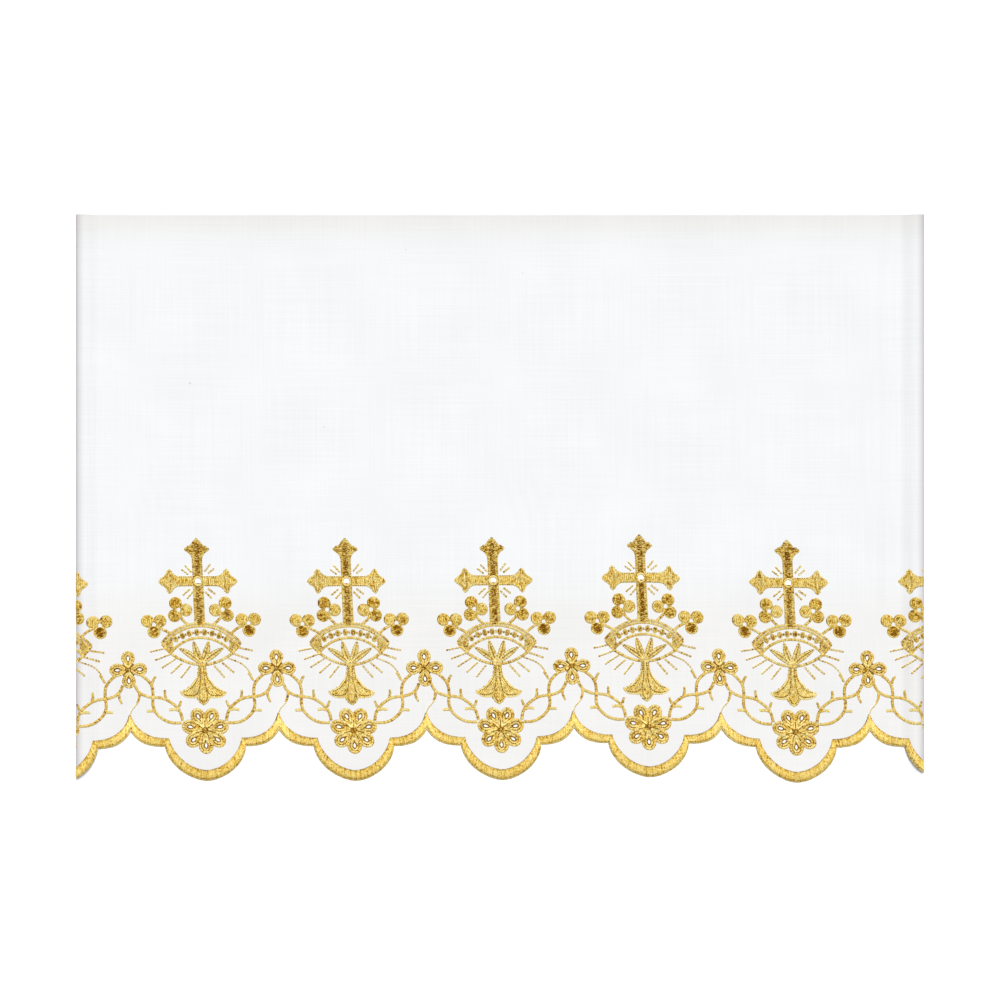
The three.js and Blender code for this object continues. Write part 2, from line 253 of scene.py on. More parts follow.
@dataclass(frozen=True)
class FoldProfile:
    """The cloth's section across: level in the middle, with each side turned under in a soft fold."""

    width: float = 762.3
    thickness: float = 0.6
    flap_width: float = 30.0
    fold_reach: float = 6.5
    fold_height: float = 6.0
    layer_gap: float = 0.3
    slope_end: float = 22.0
    step_start: float = 31.5
    step_end: float = 42.0

    @property
    def edge(self) -> float:
        """Half the width of the cloth as it lies."""
        return self.width / 2

    def right_half(self) -> tuple[np.ndarray, int]:
        """The middle line from the level centre to the right flap's free end.

        Returns:
            Rows of (x, z), and the number of the row at the fold's outermost point.
        """
        lowest = self.thickness / 2
        above_flap = 1.5 * self.thickness + self.layer_gap
        top = self.fold_height - self.thickness / 2
        step = np.linspace(self.edge - self.step_end, self.edge - self.step_start, 9)
        step_z = lowest + (above_flap - lowest) * eased((step - step[0]) / np.ptp(step))
        turn_x = self.edge - self.thickness / 2 - self.fold_reach
        slope = np.linspace(self.edge - self.slope_end, turn_x, 13)
        slope_z = above_flap + (top - above_flap) * eased((slope - slope[0]) / np.ptp(slope))
        angle = np.linspace(math.pi / 2, -math.pi / 2, 25)[1:]
        turn = np.column_stack([
            turn_x + self.fold_reach * np.cos(angle),
            (top + lowest) / 2 + (top - lowest) / 2 * np.sin(angle),
        ])
        line = np.vstack([
            [[0.0, lowest]],
            np.column_stack([step, step_z]),
            np.column_stack([slope, slope_z]),
            turn,
            [[self.edge - self.flap_width, lowest]],
        ])
        return line, int(np.argmax(line[:, 0]))

    def whole(self) -> np.ndarray:
        """The whole middle line, left flap to right flap, as rows of (way from the centre, x, z)."""
        line, _ = self.right_half()
        right = np.column_stack([way_along(line), line])
        left = right[:0:-1] * np.array([-1.0, -1.0, 1.0])
        return np.vstack([left, right])

    def face_height(self, x: np.ndarray) -> np.ndarray:
        """Height of the cloth's face above the floor at places across it."""
        line, outermost = self.right_half()
        front = line[: outermost + 1]
        return np.interp(np.abs(x), front[:, 0], front[:, 1]) + self.thickness / 2

    def front_way(self, x: np.ndarray) -> np.ndarray:
        """Ways from the centre, along the face, of places across it."""
        line, outermost = self.right_half()
        front, way = line[: outermost + 1, 0], way_along(line)[: outermost + 1]
        return np.sign(x) * np.interp(np.abs(x), front, way)


@dataclass(frozen=True)
class ScallopLine:
    """One line along the scalloped edge: a deep scallop's right half, and the shallow one beside it."""

    deep_half: tuple[Pair, ...]
    shallow_points: tuple[Pair, ...]

    def deep(self, steps: int) -> np.ndarray:
        """The deep scallop, left to right."""
        right = rows(self.deep_half)
        return smooth_route(np.vstack([mirrored(right)[:0:-1], right]), steps)

    def shallow(self, steps: int) -> np.ndarray:
        """The shallow scallop on the right, from its notch to the cusp."""
        return smooth_route(self.shallow_points, steps)


OUTER_LINE = ScallopLine(
    deep_half=(
        (0.0, 0.0), (6.5, 0.9), (12.4, 3.0), (18.6, 6.2), (24.6, 10.5), (29.6, 15.8), (33.2, 21.4),
        (35.3, 26.8), (36.1, 31.2),
    ),
    shallow_points=(
        (36.1, 31.4), (39.5, 31.3), (44.0, 31.6), (49.0, 32.5), (54.0, 34.1), (58.3, 36.6),
        (61.9, 39.8), (64.7, 43.3), (66.5, 46.0),
    ),
)
INNER_LINE = ScallopLine(
    deep_half=(
        (0.0, 9.4), (5.4, 10.2), (10.8, 12.0), (16.2, 14.9), (20.3, 18.1), (24.1, 22.0),
        (27.1, 25.8), (29.7, 30.0), (31.6, 34.4), (32.6, 38.4),
    ),
    shallow_points=(
        (32.6, 38.6), (36.5, 38.7), (41.1, 39.2), (46.5, 40.4), (51.5, 42.6), (56.2, 45.7),
        (60.1, 49.2), (63.2, 53.4), (65.3, 58.0), (66.5, 61.6),
    ),
)


@dataclass(frozen=True)
class Flower:
    """A ring of petals, each with an eyelet, about a centre."""

    centre: Pair
    petals: int
    reach: float
    width: float
    eyelet_at: float
    eyelet_length: float = 6.6
    eyelet_width: float = 4.1
    eyelet_pinch: float = 0.35
    petal_pinch: float = 0.40
    petal_root: float = 0.8
    first_turn: float = -90.0

    def turns(self) -> list[float]:
        """The petals' directions in degrees."""
        return [self.first_turn + 360.0 * petal / self.petals for petal in range(self.petals)]

    def drop(self, turn: float, ends: Pair, half: float, pinch: float, steps: int) -> np.ndarray:
        """A drop about an eyelet's middle, from its inner end anticlockwise.

        Args:
            turn: the petal's direction in degrees.
            ends: how far its outer and its inner end lie from the middle.
            half: half its width.
            pinch: share of the width that is lost at the inner end.
            steps: points around it.

        Returns:
            Rows of (along, up).
        """
        angle = math.pi + np.linspace(0, 2 * math.pi, steps, endpoint=False)
        narrowing = 1 - pinch * np.clip(-np.cos(angle), 0, 1)
        length = np.where(np.cos(angle) > 0, *ends)
        outline = np.column_stack([
            self.eyelet_at + length * np.cos(angle),
            half * np.sin(angle) * narrowing,
        ])
        return turned(outline, turn, self.centre)

    def eyelet(self, turn: float, grow: float = 0.0, steps: int = 16) -> np.ndarray:
        """One petal's eyelet, a pointed oval."""
        end = self.eyelet_length / 2 + grow
        return self.drop(turn, (end, end), self.eyelet_width / 2 + grow, self.eyelet_pinch, steps)

    def petal(self, turn: float, steps: int = 48) -> np.ndarray:
        """One petal's outer line, a drop with its point at the flower's centre."""
        ends = (self.reach - self.eyelet_at, self.eyelet_at - self.petal_root)
        return self.drop(turn, ends, self.width / 2, self.petal_pinch, steps)


SCALLOP_FLOWER = Flower(centre=(0.4, 45.5), petals=7, reach=21.3, width=13.2, eyelet_at=13.6)
SPRIG_FLOWER = Flower(centre=(0.3, 101.3), petals=4, reach=16.8, width=12.2, eyelet_at=9.8)
CROSS_CENTRE = (-0.4, 179.6)
CROSS_EYELET_RADIUS = 2.7
WHOLE_REPEATS = range(1, 6)
SPRIG_PLACES = tuple(number + 0.5 for number in range(6))


def disc(centre: Row, radius: float, steps: int = 24) -> np.ndarray:
    """A circle's outline, anticlockwise from its right."""
    angle = np.linspace(0, 2 * math.pi, steps, endpoint=False)
    return np.array(centre) + radius * np.column_stack([np.cos(angle), np.sin(angle)])


class Value:
    """A shader number that Python's operators add Math nodes to."""

    def __init__(self, shader: "Shader", socket: bpy.types.NodeSocket) -> None:
        """Keeps the shader and the socket that gives the number."""
        self.shader = shader
        self.socket = socket

    def math(self, operation: str, *others: "Value | float") -> "Value":
        """Adds a Math node.

        Args:
            operation: the node's operation.
            others: its further numbers.

        Returns:
            The node's result.
        """
        inputs = dict(enumerate((self, *others)))
        return self.shader.value("ShaderNodeMath", {"operation": operation}, inputs)

    def __add__(self, other: "Value | float") -> "Value":
        """This plus the other."""
        return self.math("ADD", other)

    def __sub__(self, other: "Value | float") -> "Value":
        """This less the other."""
        return self.math("SUBTRACT", other)

    def __rsub__(self, other: float) -> "Value":
        """The other less this."""
        return self.math("MULTIPLY", -1.0).math("ADD", other)

    def __mul__(self, other: "Value | float") -> "Value":
        """This times the other."""
        return self.math("MULTIPLY", other)

    __radd__ = __add__
    __rmul__ = __mul__

    def clamped(self) -> "Value":
        """This held between 0 and 1."""
        return self.shader.value("ShaderNodeClamp", {}, {0: self})


class Shader:
    """A material under construction."""

    def __init__(self, name: str) -> None:
        """Starts a material with one Principled shader and its output."""
        self.material = bpy.data.materials.new(name)
        self.material.use_nodes = True
        self.tree = self.material.node_tree
        self.surface = self.tree.nodes["Principled BSDF"]

    def node(
        self,
        kind: str,
        settings: dict[str, object] | None = None,
        inputs: dict[int | str, object] | None = None,
    ) -> bpy.types.Node:
        """Adds a node.

        Args:
            kind: the node's type.
            settings: its properties, and a ramp's stops as (place, colour) pairs.
            inputs: values, links or Values for its sockets.

        Returns:
            The node.
        """
        node = self.tree.nodes.new(kind)
        for name, setting in (settings or {}).items():
            if name == "stops":
                self.set_stops(node, setting)
            else:
                setattr(node, name, setting)
        for name, given in (inputs or {}).items():
            self.feed(node.inputs[name], given)
        return node

    def feed(self, socket: bpy.types.NodeSocket, given: object) -> None:
        """Links or sets a socket."""
        source = given.socket if isinstance(given, Value) else given
        if isinstance(source, bpy.types.NodeSocket):
            self.tree.links.new(source, socket)
        else:
            socket.default_value = source

    @staticmethod
    def set_stops(node: bpy.types.Node, stops: Iterable[tuple[float, Row]]) -> None:
        """Sets a colour ramp's stops."""
        ramp = node.color_ramp
        wanted = list(stops)
        while len(ramp.elements) < len(wanted):
            ramp.elements.new(1.0)
        for element, (place, colour) in zip(ramp.elements, wanted):
            element.position = place
            element.color = (*colour, 1.0)

    def value(self, kind: str, settings: dict[str, object], inputs: dict[int | str, object]) -> Value:
        """Adds a node and gives its first output as a Value."""
        return Value(self, self.node(kind, settings, inputs).outputs[0])

    def place(self, axis: str) -> Value:
        """One Object coordinate."""
        split = self.node("ShaderNodeSeparateXYZ", {}, {0: self.where()})
        return Value(self, split.outputs[axis])

    def where(self) -> bpy.types.NodeSocket:
        """The Object coordinates."""
        return self.node("ShaderNodeTexCoord").outputs["Object"]

    def attribute(self, name: str) -> Value:
        """One of the piece's own numbers."""
        return Value(self, self.node("ShaderNodeAttribute", {"attribute_name": name}).outputs["Fac"])

    def noise(self, scale: Row, detail: float = 2.0) -> Value:
        """Noise over the piece.

        Args:
            scale: grains in a metre along each axis.
            detail: layers of finer grain.

        Returns:
            A number from 0 to 1.
        """
        stretched = self.node("ShaderNodeMapping", {}, {"Vector": self.where(), "Scale": scale})
        inputs = {"Vector": stretched.outputs[0], "Scale": 1.0, "Detail": detail}
        return self.value("ShaderNodeTexNoise", {}, inputs)

    def mixed(
        self, share: Value, one: object, other: Colour, blend: str = "MIX"
    ) -> bpy.types.NodeSocket:
        """Mixes a second colour into the first.

        Args:
            share: how much of it, from 0 to 1.
            one: the first colour, or the socket that gives it.
            other: the second.
            blend: how they mix.

        Returns:
            The socket that gives the mixed colour.
        """
        settings = {"data_type": "RGBA", "blend_type": blend}
        node = self.node("ShaderNodeMix", settings, {0: share, "A": one, "B": (*other, 1.0)})
        return node.outputs["Result"]

    def relief(self, height: Value, strength: float) -> bpy.types.NodeSocket:
        """A normal from heights in metres."""
        inputs = {"Height": height, "Distance": 1.0, "Strength": strength}
        return self.node("ShaderNodeBump", {}, inputs).outputs[0]

    def finished(self, sockets: dict[str, object]) -> bpy.types.Material:
        """Feeds the Principled shader's sockets and gives the material."""
        for name, given in sockets.items():
            self.feed(self.surface.inputs[name], given)
        return self.material


@dataclass(frozen=True)
class WovenCloth:
    """White plain weave: fine threads both ways, slubs, a few specks, painted shade at its top edge and
    side folds, and a warmer tint over the lower band by the hem.
    """

    colour: Colour = (0.822, 0.830, 0.841)
    shade: Colour = (0.776, 0.785, 0.797)
    # Painted shade, multiplied in towards the top edge and towards the outer edge of each side fold.
    painted_top_shade: Colour = (0.920, 0.898, 0.862)
    top_depth: float = 0.045
    painted_fold_shade: Colour = (0.64, 0.60, 0.635)
    side_depth: float = 0.0095
    low_tint: Colour = (0.978, 0.963, 0.941)
    low_top: float = 0.19
    low_fade: float = 0.04
    speck: Colour = (0.50, 0.49, 0.48)
    speck_strength: float = 0.9
    roughness: float = 0.88
    shine: float = 0.25
    sheen: float = 0.12
    thread_pitch: float = 0.55
    bump_height: float = 0.00006
    bump_strength: float = 0.6
    swell: Pair = (1300.0, 22.0)
    streak: Pair = (900.0, 9.0)
    cloud: float = 14.0
    streak_contrast: float = 3.2
    cloud_contrast: float = 1.8
    specks: tuple[tuple[float, float, float], ...] = (
        (-279.0, 104.0, 1.4),
        (-158.5, 64.5, 0.9),
        (-84.5, 224.0, 0.8),
        (20.5, 203.0, 0.8),
        (-181.0, -46.0, 0.7),
    )

    def material(self) -> bpy.types.Material:
        """Makes the material."""
        shader = Shader("woven_cloth")
        colour = shader.mixed(self.weave_tone(shader), (*self.shade, 1.0), self.colour)
        colour = shader.mixed(self.speck_mask(shader), colour, self.speck)
        # Multiplies in the painted shades at the top edge and side folds, and the warmer tint by the
        # hem.
        for share, tint in self.painted_shades_and_hem_tint(shader):
            colour = shader.mixed(share, colour, tint, "MULTIPLY")
        return shader.finished({
            "Base Color": colour,
            "Normal": shader.relief(self.crowns(shader) * self.bump_height, self.bump_strength),
            "Roughness": self.roughness,
            "Specular IOR Level": self.shine,
            "Sheen Weight": self.sheen,
        })

    def crowns(self, shader: Shader) -> Value:
        """Where the threads rise, warp over weft and weft over warp, each with its slubs."""
        turns = math.pi / (self.thread_pitch * MM)
        across = (shader.place("X") * turns).math("SINE")
        upward = (shader.place("Y") * turns).math("SINE")
        warp_swell, weft_swell = (
            shader.noise((*scale, 1.0), 3.0) * 0.9 + 0.55 for scale in (self.swell, self.swell[::-1])
        )
        return (across * upward) * (warp_swell * weft_swell)

    def weave_tone(self, shader: Shader) -> Value:
        """How light each place of the weave is, from 0 to 1."""
        warp, weft = (shader.noise((*scale, 1.0)) * 0.5 for scale in (self.streak, self.streak[::-1]))
        clouds = shader.noise((self.cloud, self.cloud, self.cloud), 3.0)
        streaks = (warp + weft - 0.5) * self.streak_contrast
        return (streaks + (clouds - 0.5) * self.cloud_contrast + 0.5).clamped()

    def painted_shades_and_hem_tint(self, shader: Shader) -> Iterable[tuple[Value, Colour]]:
        """The painted shades near the top edge and on the side folds, and the warmer tint over the lower
        band by the hem, each with its share.
        """
        low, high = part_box("cloth")
        upward, across = shader.place("Y"), shader.place("X").math("ABSOLUTE")
        near_top = ((upward - (high.y - self.top_depth)) * (1 / self.top_depth)).clamped()
        near_side = ((across - (high.x - self.side_depth)) * (1 / self.side_depth)).clamped()
        near_hem = (((low.y + self.low_top) - upward) * (1 / self.low_fade)).clamped()
        return (
            (near_top * near_top, self.painted_top_shade),
            (near_side * near_side, self.painted_fold_shade),
            (near_hem, self.low_tint),
        )

    def speck_mask(self, shader: Shader) -> Value:
        """How much of each place is a speck, from 0 to 1."""
        where = shader.where()
        total: Value | None = None
        for x, y, radius in self.specks:
            centre = (x * MM, y * MM, FoldProfile().thickness * MM)
            apart = shader.node("ShaderNodeVectorMath", {"operation": "DISTANCE"}, {0: where, 1: centre})
            near = (1.0 - Value(shader, apart.outputs["Value"]) * (1 / (radius * MM))).clamped()
            total = near if total is None else total + near
        return (total * self.speck_strength).clamped()


@dataclass(frozen=True)
class GoldThread:
    """Metallic gold embroidery thread: bright ridges, browner where its tone is lower; each stitch's
    tone carries painted shade towards its ends and a painted sheen by its direction.
    """

    stops: tuple[tuple[float, Colour], ...] = (
        (0.0, (0.23, 0.085, 0.002)),
        (0.2, (0.51, 0.240, 0.008)),
        (0.4, (0.77, 0.50, 0.06)),
        (0.6, (0.90, 0.67, 0.165)),
        (0.8, (0.97, 0.79, 0.29)),
        (1.0, (1.0, 0.93, 0.52)),
    )
    roughness: float = 0.27
    rough_range: float = 0.3
    metallic: float = 0.22
    gleam: Colour = (1.0, 0.72, 0.26)
    grain: float = 560.0
    glint: float = 2100.0
    twist_height: float = 0.00003
    twist_strength: float = 0.5

    def material(self) -> bpy.types.Material:
        """Makes the material; each stitch brings its own tone, and the turns of its twist."""
        shader = Shader("gold_thread")
        tone = shader.attribute("tone")
        strands = (shader.attribute("twist") * (2 * math.pi)).math("SINE")
        grain, glint = (shader.noise((scale, scale, scale), 1.0) for scale in (self.grain, self.glint))
        # The grain and glint noise in the colour is partly the thread's uneven tone and partly painted
        # glints of its metal.
        mixed = (tone + ((grain - 0.5) + (glint - 0.5) * 0.5) * self.swing(tone)).clamped()
        colour = shader.node("ShaderNodeValToRGB", {"stops": self.stops}, {0: mixed})
        return shader.finished({
            "Base Color": colour.outputs[0],
            "Roughness": glint * self.rough_range + self.roughness,
            "Normal": shader.relief(strands * self.twist_height, self.twist_strength),
            "Metallic": self.metallic,
            "Specular Tint": (*self.gleam, 1.0),
        })

    @staticmethod
    def swing(tone: Value) -> Value:
        """How far the tone swings: most in the middle tones, little in the darkest."""
        return (tone * 9.0 + 0.3).math("MINIMUM", 3.4 - tone * 3.6)


@dataclass(frozen=True)
class StudioFloor:
    """A plain pale floor."""

    colour: Colour = (0.97, 0.97, 0.97)
    light: Colour = (0.98, 0.98, 0.98)
    cloud: float = 3.0
    roughness: float = 0.9

    def material(self) -> bpy.types.Material:
        """Makes the material."""
        shader = Shader("studio_floor")
        clouds = shader.noise((self.cloud, self.cloud, self.cloud), 1.0)
        colour = shader.mixed(clouds, (*self.colour, 1.0), self.light)
        return shader.finished({"Base Color": colour, "Roughness": self.roughness})


def mesh_object(name: str, verts: np.ndarray, faces: np.ndarray) -> bpy.types.Object:
    """Makes an object of triangles at the origin, its place in its mesh.

    Args:
        name: the piece's name.
        verts: rows of (x, y, z) in metres.
        faces: rows of three vertex numbers.

    Returns:
        The object, smooth shaded.
    """
    mesh = bpy.data.meshes.new(name)
    mesh.vertices.add(len(verts))
    mesh.vertices.foreach_set("co", verts.astype(np.float32).ravel())
    mesh.loops.add(faces.size)
    mesh.loops.foreach_set("vertex_index", faces.astype(np.int32).ravel())
    mesh.polygons.add(len(faces))
    mesh.polygons.foreach_set("loop_start", np.arange(0, faces.size, 3, dtype=np.int32))
    mesh.polygons.foreach_set("use_smooth", np.ones(len(faces), bool))
    mesh.update(calc_edges=True)
    mesh.validate()
    piece = bpy.data.objects.new(name, mesh)
    bpy.context.scene.collection.objects.link(piece)
    return piece


def select_only(piece: bpy.types.Object | None) -> None:
    """Deselects everything, then selects one object and makes it the active one."""
    bpy.ops.object.select_all(action="DESELECT")
    bpy.context.view_layer.objects.active = piece
    if piece is not None:
        piece.select_set(True)


def seat(
    piece: bpy.types.Object, slot: Slot, material: bpy.types.Material, nodes: Iterable[str]
) -> None:
    """Dresses a piece and fixes it in the frame.

    Args:
        piece: the new piece.
        slot: not used.
        material: its finish.
        nodes: the solids that it stands for.
    """
    piece.data.materials.append(material)
    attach(piece, BODY)
    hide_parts(*nodes)
    LOG.info("%s: %d triangles", piece.name, len(piece.data.polygons))


@dataclass(frozen=True)
class Stitch:
    """One stitch, modelled once: a closed thread with a ridge that dips into the cloth at its ends."""

    rings: int
    swells: tuple[Pair, ...]
    sides: int = 3
    reach: float = 0.02

    def model(self) -> Model:
        """Models the stitch along X, from 0 to 1, with a radius of 1.

        Returns:
            Its vertices and its triangles.
        """
        select_only(None)
        bpy.ops.mesh.primitive_uv_sphere_add(
            segments=self.sides, ring_count=self.rings, radius=1.0, rotation=(0.0, -math.pi / 2, 0.0)
        )
        thread = bpy.context.active_object
        bpy.ops.object.transform_apply(location=True, rotation=True, scale=True)
        for place, swell in self.swells:
            bpy.ops.object.mode_set(mode="EDIT")
            bpy.ops.mesh.select_all(action="DESELECT")
            bpy.ops.object.mode_set(mode="OBJECT")
            for vertex in thread.data.vertices:
                vertex.select = abs(abs(vertex.co.x) - place) < self.reach
            bpy.ops.object.mode_set(mode="EDIT")
            bpy.ops.transform.resize(value=(1.0, swell, swell))
        bpy.ops.mesh.select_all(action="SELECT")
        bpy.ops.mesh.quads_convert_to_tris()
        bpy.ops.mesh.normals_make_consistent(inside=False)
        bpy.ops.object.mode_set(mode="OBJECT")
        verts = np.array([vertex.co for vertex in thread.data.vertices])
        faces = np.array([polygon.vertices[:] for polygon in thread.data.polygons])
        bpy.data.objects.remove(thread)
        verts[:, 0] = (verts[:, 0] + 1) / 2
        return verts, faces


@dataclass
class StitchBox:
    """The two modelled stitches that everything is sewn with, as (vertices, triangles)."""

    longest_short: float = 4.5
    end_taper: float = 0.32
    short: Model = field(init=False)
    long: Model = field(init=False)

    def __post_init__(self) -> None:
        """Models both stitches."""
        self.short = Stitch(rings=3, swells=((0.5, 1.12),)).model()
        self.long = Stitch(rings=5, swells=((0.809, 1.5), (0.309, 1.05))).model()

    def sorts(self, length: np.ndarray) -> Iterable[tuple[np.ndarray, Model]]:
        """Which stitches are copies of the short one, and which of the long one."""
        brief = length < self.longest_short
        return ((brief, self.short), (~brief, self.long))


@dataclass(frozen=True)
class Thread:
    """How one kind of stitching lies: its spacing, height, tone, and evenness."""

    tone: float = 0.62
    pitch: float = 0.42
    crown: float = 0.5
    base: float = 0.1
    slant: float = 0.0
    uneven: float = 0.10
    ragged: float = 0.10
    overrun: float = 0.22
    # Painted shade: end_shade takes tone off towards both ends of each stitch; start_shade takes it off
    # along the stitch, most at its start, and paints light there when below zero.
    end_shade: float = 0.05
    start_shade: float = 0.0
    padded: bool = True

    def pad(self) -> "Thread":
        """The wide underlay stitches beneath this stitching."""
        return Thread(
            tone=self.tone - 0.22,
            crown=max(self.crown - 0.12, 0.05),
            base=self.base - 0.08,
            ragged=0.0,
            overrun=-0.1,
        )


def marking(
    tone: float, base: float, crown: float = 0.1, uneven: float = 0.1, overrun: float = 0.0
) -> Thread:
    """Thread for a line that is drawn over other stitching, without an underlay."""
    return Thread(
        tone=tone, base=base, crown=crown, uneven=uneven, overrun=overrun, padded=False
    )


@dataclass(frozen=True)
class Layer:
    """One layer of stitching: its thread, the space between rows, and half a stitch's size."""

    thread: Thread
    pitch: float
    half_width: float
    half_height: float
    longest: float = math.inf


@dataclass(frozen=True)
class Dashes:
    """A running stitch: its thread, a stitch's length, the gap to the next, and its width."""

    thread: Thread
    length: float
    gap: float
    width: float

    width_share: ClassVar[float] = 0.55
    height_share: ClassVar[float] = 0.42

    def layer(self) -> Layer:
        """The running stitch as a layer of stitching."""
        half_width, half_height = self.width_share * self.width, self.height_share * self.width
        return Layer(self.thread, self.length + self.gap, half_width, half_height)


PAD_PITCH = 1.7
PAD_HALF_WIDTH = 0.72 * PAD_PITCH
PAD_HALF_HEIGHT = 0.1
PAD_LONGEST = 12.0
TOP_WIDTH_SHARE = 0.62
TOP_HEIGHT_SHARE = 0.5
FULL_CROWN_LENGTH = 4.0
LOWEST_CROWN = 0.3
CROWN_SPREAD = (0.92, 1.08)
PITCH_SPREAD = 0.12
BRICK_STEP = 0.37
BRICK_SPREAD = 0.7
# Painted sheen: tone added to stitches that run up the cloth and taken from those that run across it.
PAINTED_SHEEN_BY_DIRECTION = 0.10
TWIST_LENGTH = 0.42
TWIST_LEAN = 0.4
FOLD_MARGIN = 0.1
SHORTEST_STITCH = 0.15


class Needlework:
    """Gathers the stitches of one piece and lays them on the cloth as one mesh."""

    def __init__(self, cloth: "ClothSheet", stitches: StitchBox, repeat: float, seed: int) -> None:
        """Starts an empty piece.

        Args:
            cloth: the cloth that the stitches lie on.
            stitches: the stitches that are copied.
            repeat: the border's repeat that the piece's measure starts from.
            seed: fixes the stitches' unevenness.
        """
        self.cloth = cloth
        self.stitches = stitches
        self.repeat = repeat
        self.chance = np.random.default_rng(seed)
        self.batches: list[np.ndarray] = []

    def add(self, starts: np.ndarray, ends: np.ndarray, layer: Layer) -> None:
        """Adds stitches from starts to ends.

        Args:
            starts: rows of (along, up).
            ends: rows of (along, up).
            layer: how they lie.
        """
        if not len(starts):
            return
        count, thread = len(starts), layer.thread
        first = self.cloth.border.to_cloth(self.repeat, starts)
        last = self.cloth.border.to_cloth(self.repeat, ends)
        length = np.linalg.norm(last - first, axis=1)
        way = (last - first) / np.maximum(length, 1e-6)[:, None]
        reach = thread.overrun + thread.ragged * self.chance.uniform(-1, 1, (2, count))
        first = first - way * reach[0][:, None]
        last = last + way * reach[1][:, None]
        rise = np.clip(length / FULL_CROWN_LENGTH, LOWEST_CROWN, 1.0)
        crown = thread.crown * rise * self.chance.uniform(*CROWN_SPREAD, count)
        tone = thread.tone + thread.uneven * self.chance.standard_normal(count)
        # Painted sheen by the stitch's direction.
        tone = tone + PAINTED_SHEEN_BY_DIRECTION * (2 * way[:, 1] ** 2 - 1)
        same = (layer.half_width, layer.half_height, thread.base, thread.end_shade, thread.start_shade)
        self.batches.append(np.column_stack([first, last, crown, tone, np.tile(same, (count, 1))]))

    def layers(self, thread: Thread, longest: float = math.inf) -> list[Layer]:
        """The top stitches, and the underlay where there is one."""
        pitch = thread.pitch
        top = Layer(thread, pitch, TOP_WIDTH_SHARE * pitch, TOP_HEIGHT_SHARE * pitch, longest)
        under = Layer(thread.pad(), PAD_PITCH, PAD_HALF_WIDTH, PAD_HALF_HEIGHT, PAD_LONGEST)
        return [top, under] if thread.padded else [top]

    def satin(self, left: np.ndarray, right: np.ndarray, thread: Thread) -> None:
        """Fills the band between two rails with stitches across it.

        Args:
            left: one rail's points.
            right: the other's, as many, each opposite its partner.
            thread: how the stitches lie.
        """
        way = way_along((left + right) / 2)
        wide = max(np.linalg.norm(np.diff(rail, axis=0), axis=1).sum() for rail in (left, right))
        for layer in self.layers(thread):
            count = max(int(round(wide / layer.pitch)), 2)
            at = (np.arange(count) + 0.5) / count * way[-1]
            at = at + self.chance.uniform(-PITCH_SPREAD, PITCH_SPREAD, count) * layer.pitch
            across = np.clip(at + layer.thread.slant, 0, way[-1])
            self.add(points_at(left, way, at), points_at(right, way, across), layer)

    def line(self, route: np.ndarray, width: float, thread: Thread, taper: float = 0.0) -> None:
        """Lays a narrow satin line along a route.

        Args:
            route: points evenly along it.
            width: the line's width.
            thread: how the stitches lie.
            taper: share of the width that is lost at the far end.
        """
        half = width / 2 * (1 - taper * np.linspace(0, 1, len(route)) ** 2)
        side = sideways(route) * half[:, None]
        self.satin(route + side, route - side, thread)

    def dashes(self, route: np.ndarray, dashes: Dashes) -> None:
        """Lays running stitches along a route."""
        way = way_along(route)
        count = max(int(round(way[-1] / (dashes.length + dashes.gap))), 1)
        step = way[-1] / count
        begin = np.arange(count) * step
        finish = begin + step - dashes.gap
        self.add(points_at(route, way, begin), points_at(route, way, finish), dashes.layer())

    def fill(
        self,
        loops: np.ndarray | list[np.ndarray],
        degrees: float,
        thread: Thread,
        longest: float = 2.4,
    ) -> None:
        """Fills a shape with parallel stitches, long rows split like bricks.

        Args:
            loops: the shape's outline, or a list of its outline and the outlines of its holes.
            degrees: the stitches' direction.
            thread: how they lie.
            longest: the longest stitch.
        """
        outlines = loops if isinstance(loops, list) else [loops]
        level = np.vstack([turned(outline, -degrees) for outline in outlines])
        closing = np.vstack([turned(np.roll(outline, -1, axis=0), -degrees) for outline in outlines])
        for layer in self.layers(thread, longest):
            starts, ends = self.bricks(level, closing, layer)
            if starts:
                self.add(turned(rows(starts), degrees), turned(rows(ends), degrees), layer)

    @staticmethod
    def bricks(
        level: np.ndarray, closing: np.ndarray, layer: Layer
    ) -> tuple[list[Pair], list[Pair]]:
        """Lays one layer of a shape in level rows.

        Args:
            level: where the outlines' stretches start.
            closing: where they end.
            layer: how the stitches lie.

        Returns:
            The stitches' starts and ends.
        """
        low, high = level[:, 1].min(), level[:, 1].max()
        count = max(int(round((high - low) / layer.pitch)), 1)
        starts, ends = [], []
        for row in range(count):
            y = low + (row + 0.5) / count * (high - low)
            crosses = (level[:, 1] <= y) != (closing[:, 1] <= y)
            share = (y - level[crosses, 1]) / (closing[crosses, 1] - level[crosses, 1])
            cuts = np.sort(level[crosses, 0] + share * (closing[crosses, 0] - level[crosses, 0]))
            for begin, finish in zip(cuts[::2], cuts[1::2]):
                parts = max(int(math.ceil((finish - begin) / layer.longest)), 1)
                shift = 0.0 if parts == 1 else ((row * BRICK_STEP) % 1.0 - 0.5) * BRICK_SPREAD
                joints = [begin + (part + shift) * (finish - begin) / parts for part in range(1, parts)]
                starts += [(x, y) for x in (begin, *joints)]
                ends += [(x, y) for x in (*joints, finish)]
        return starts, ends

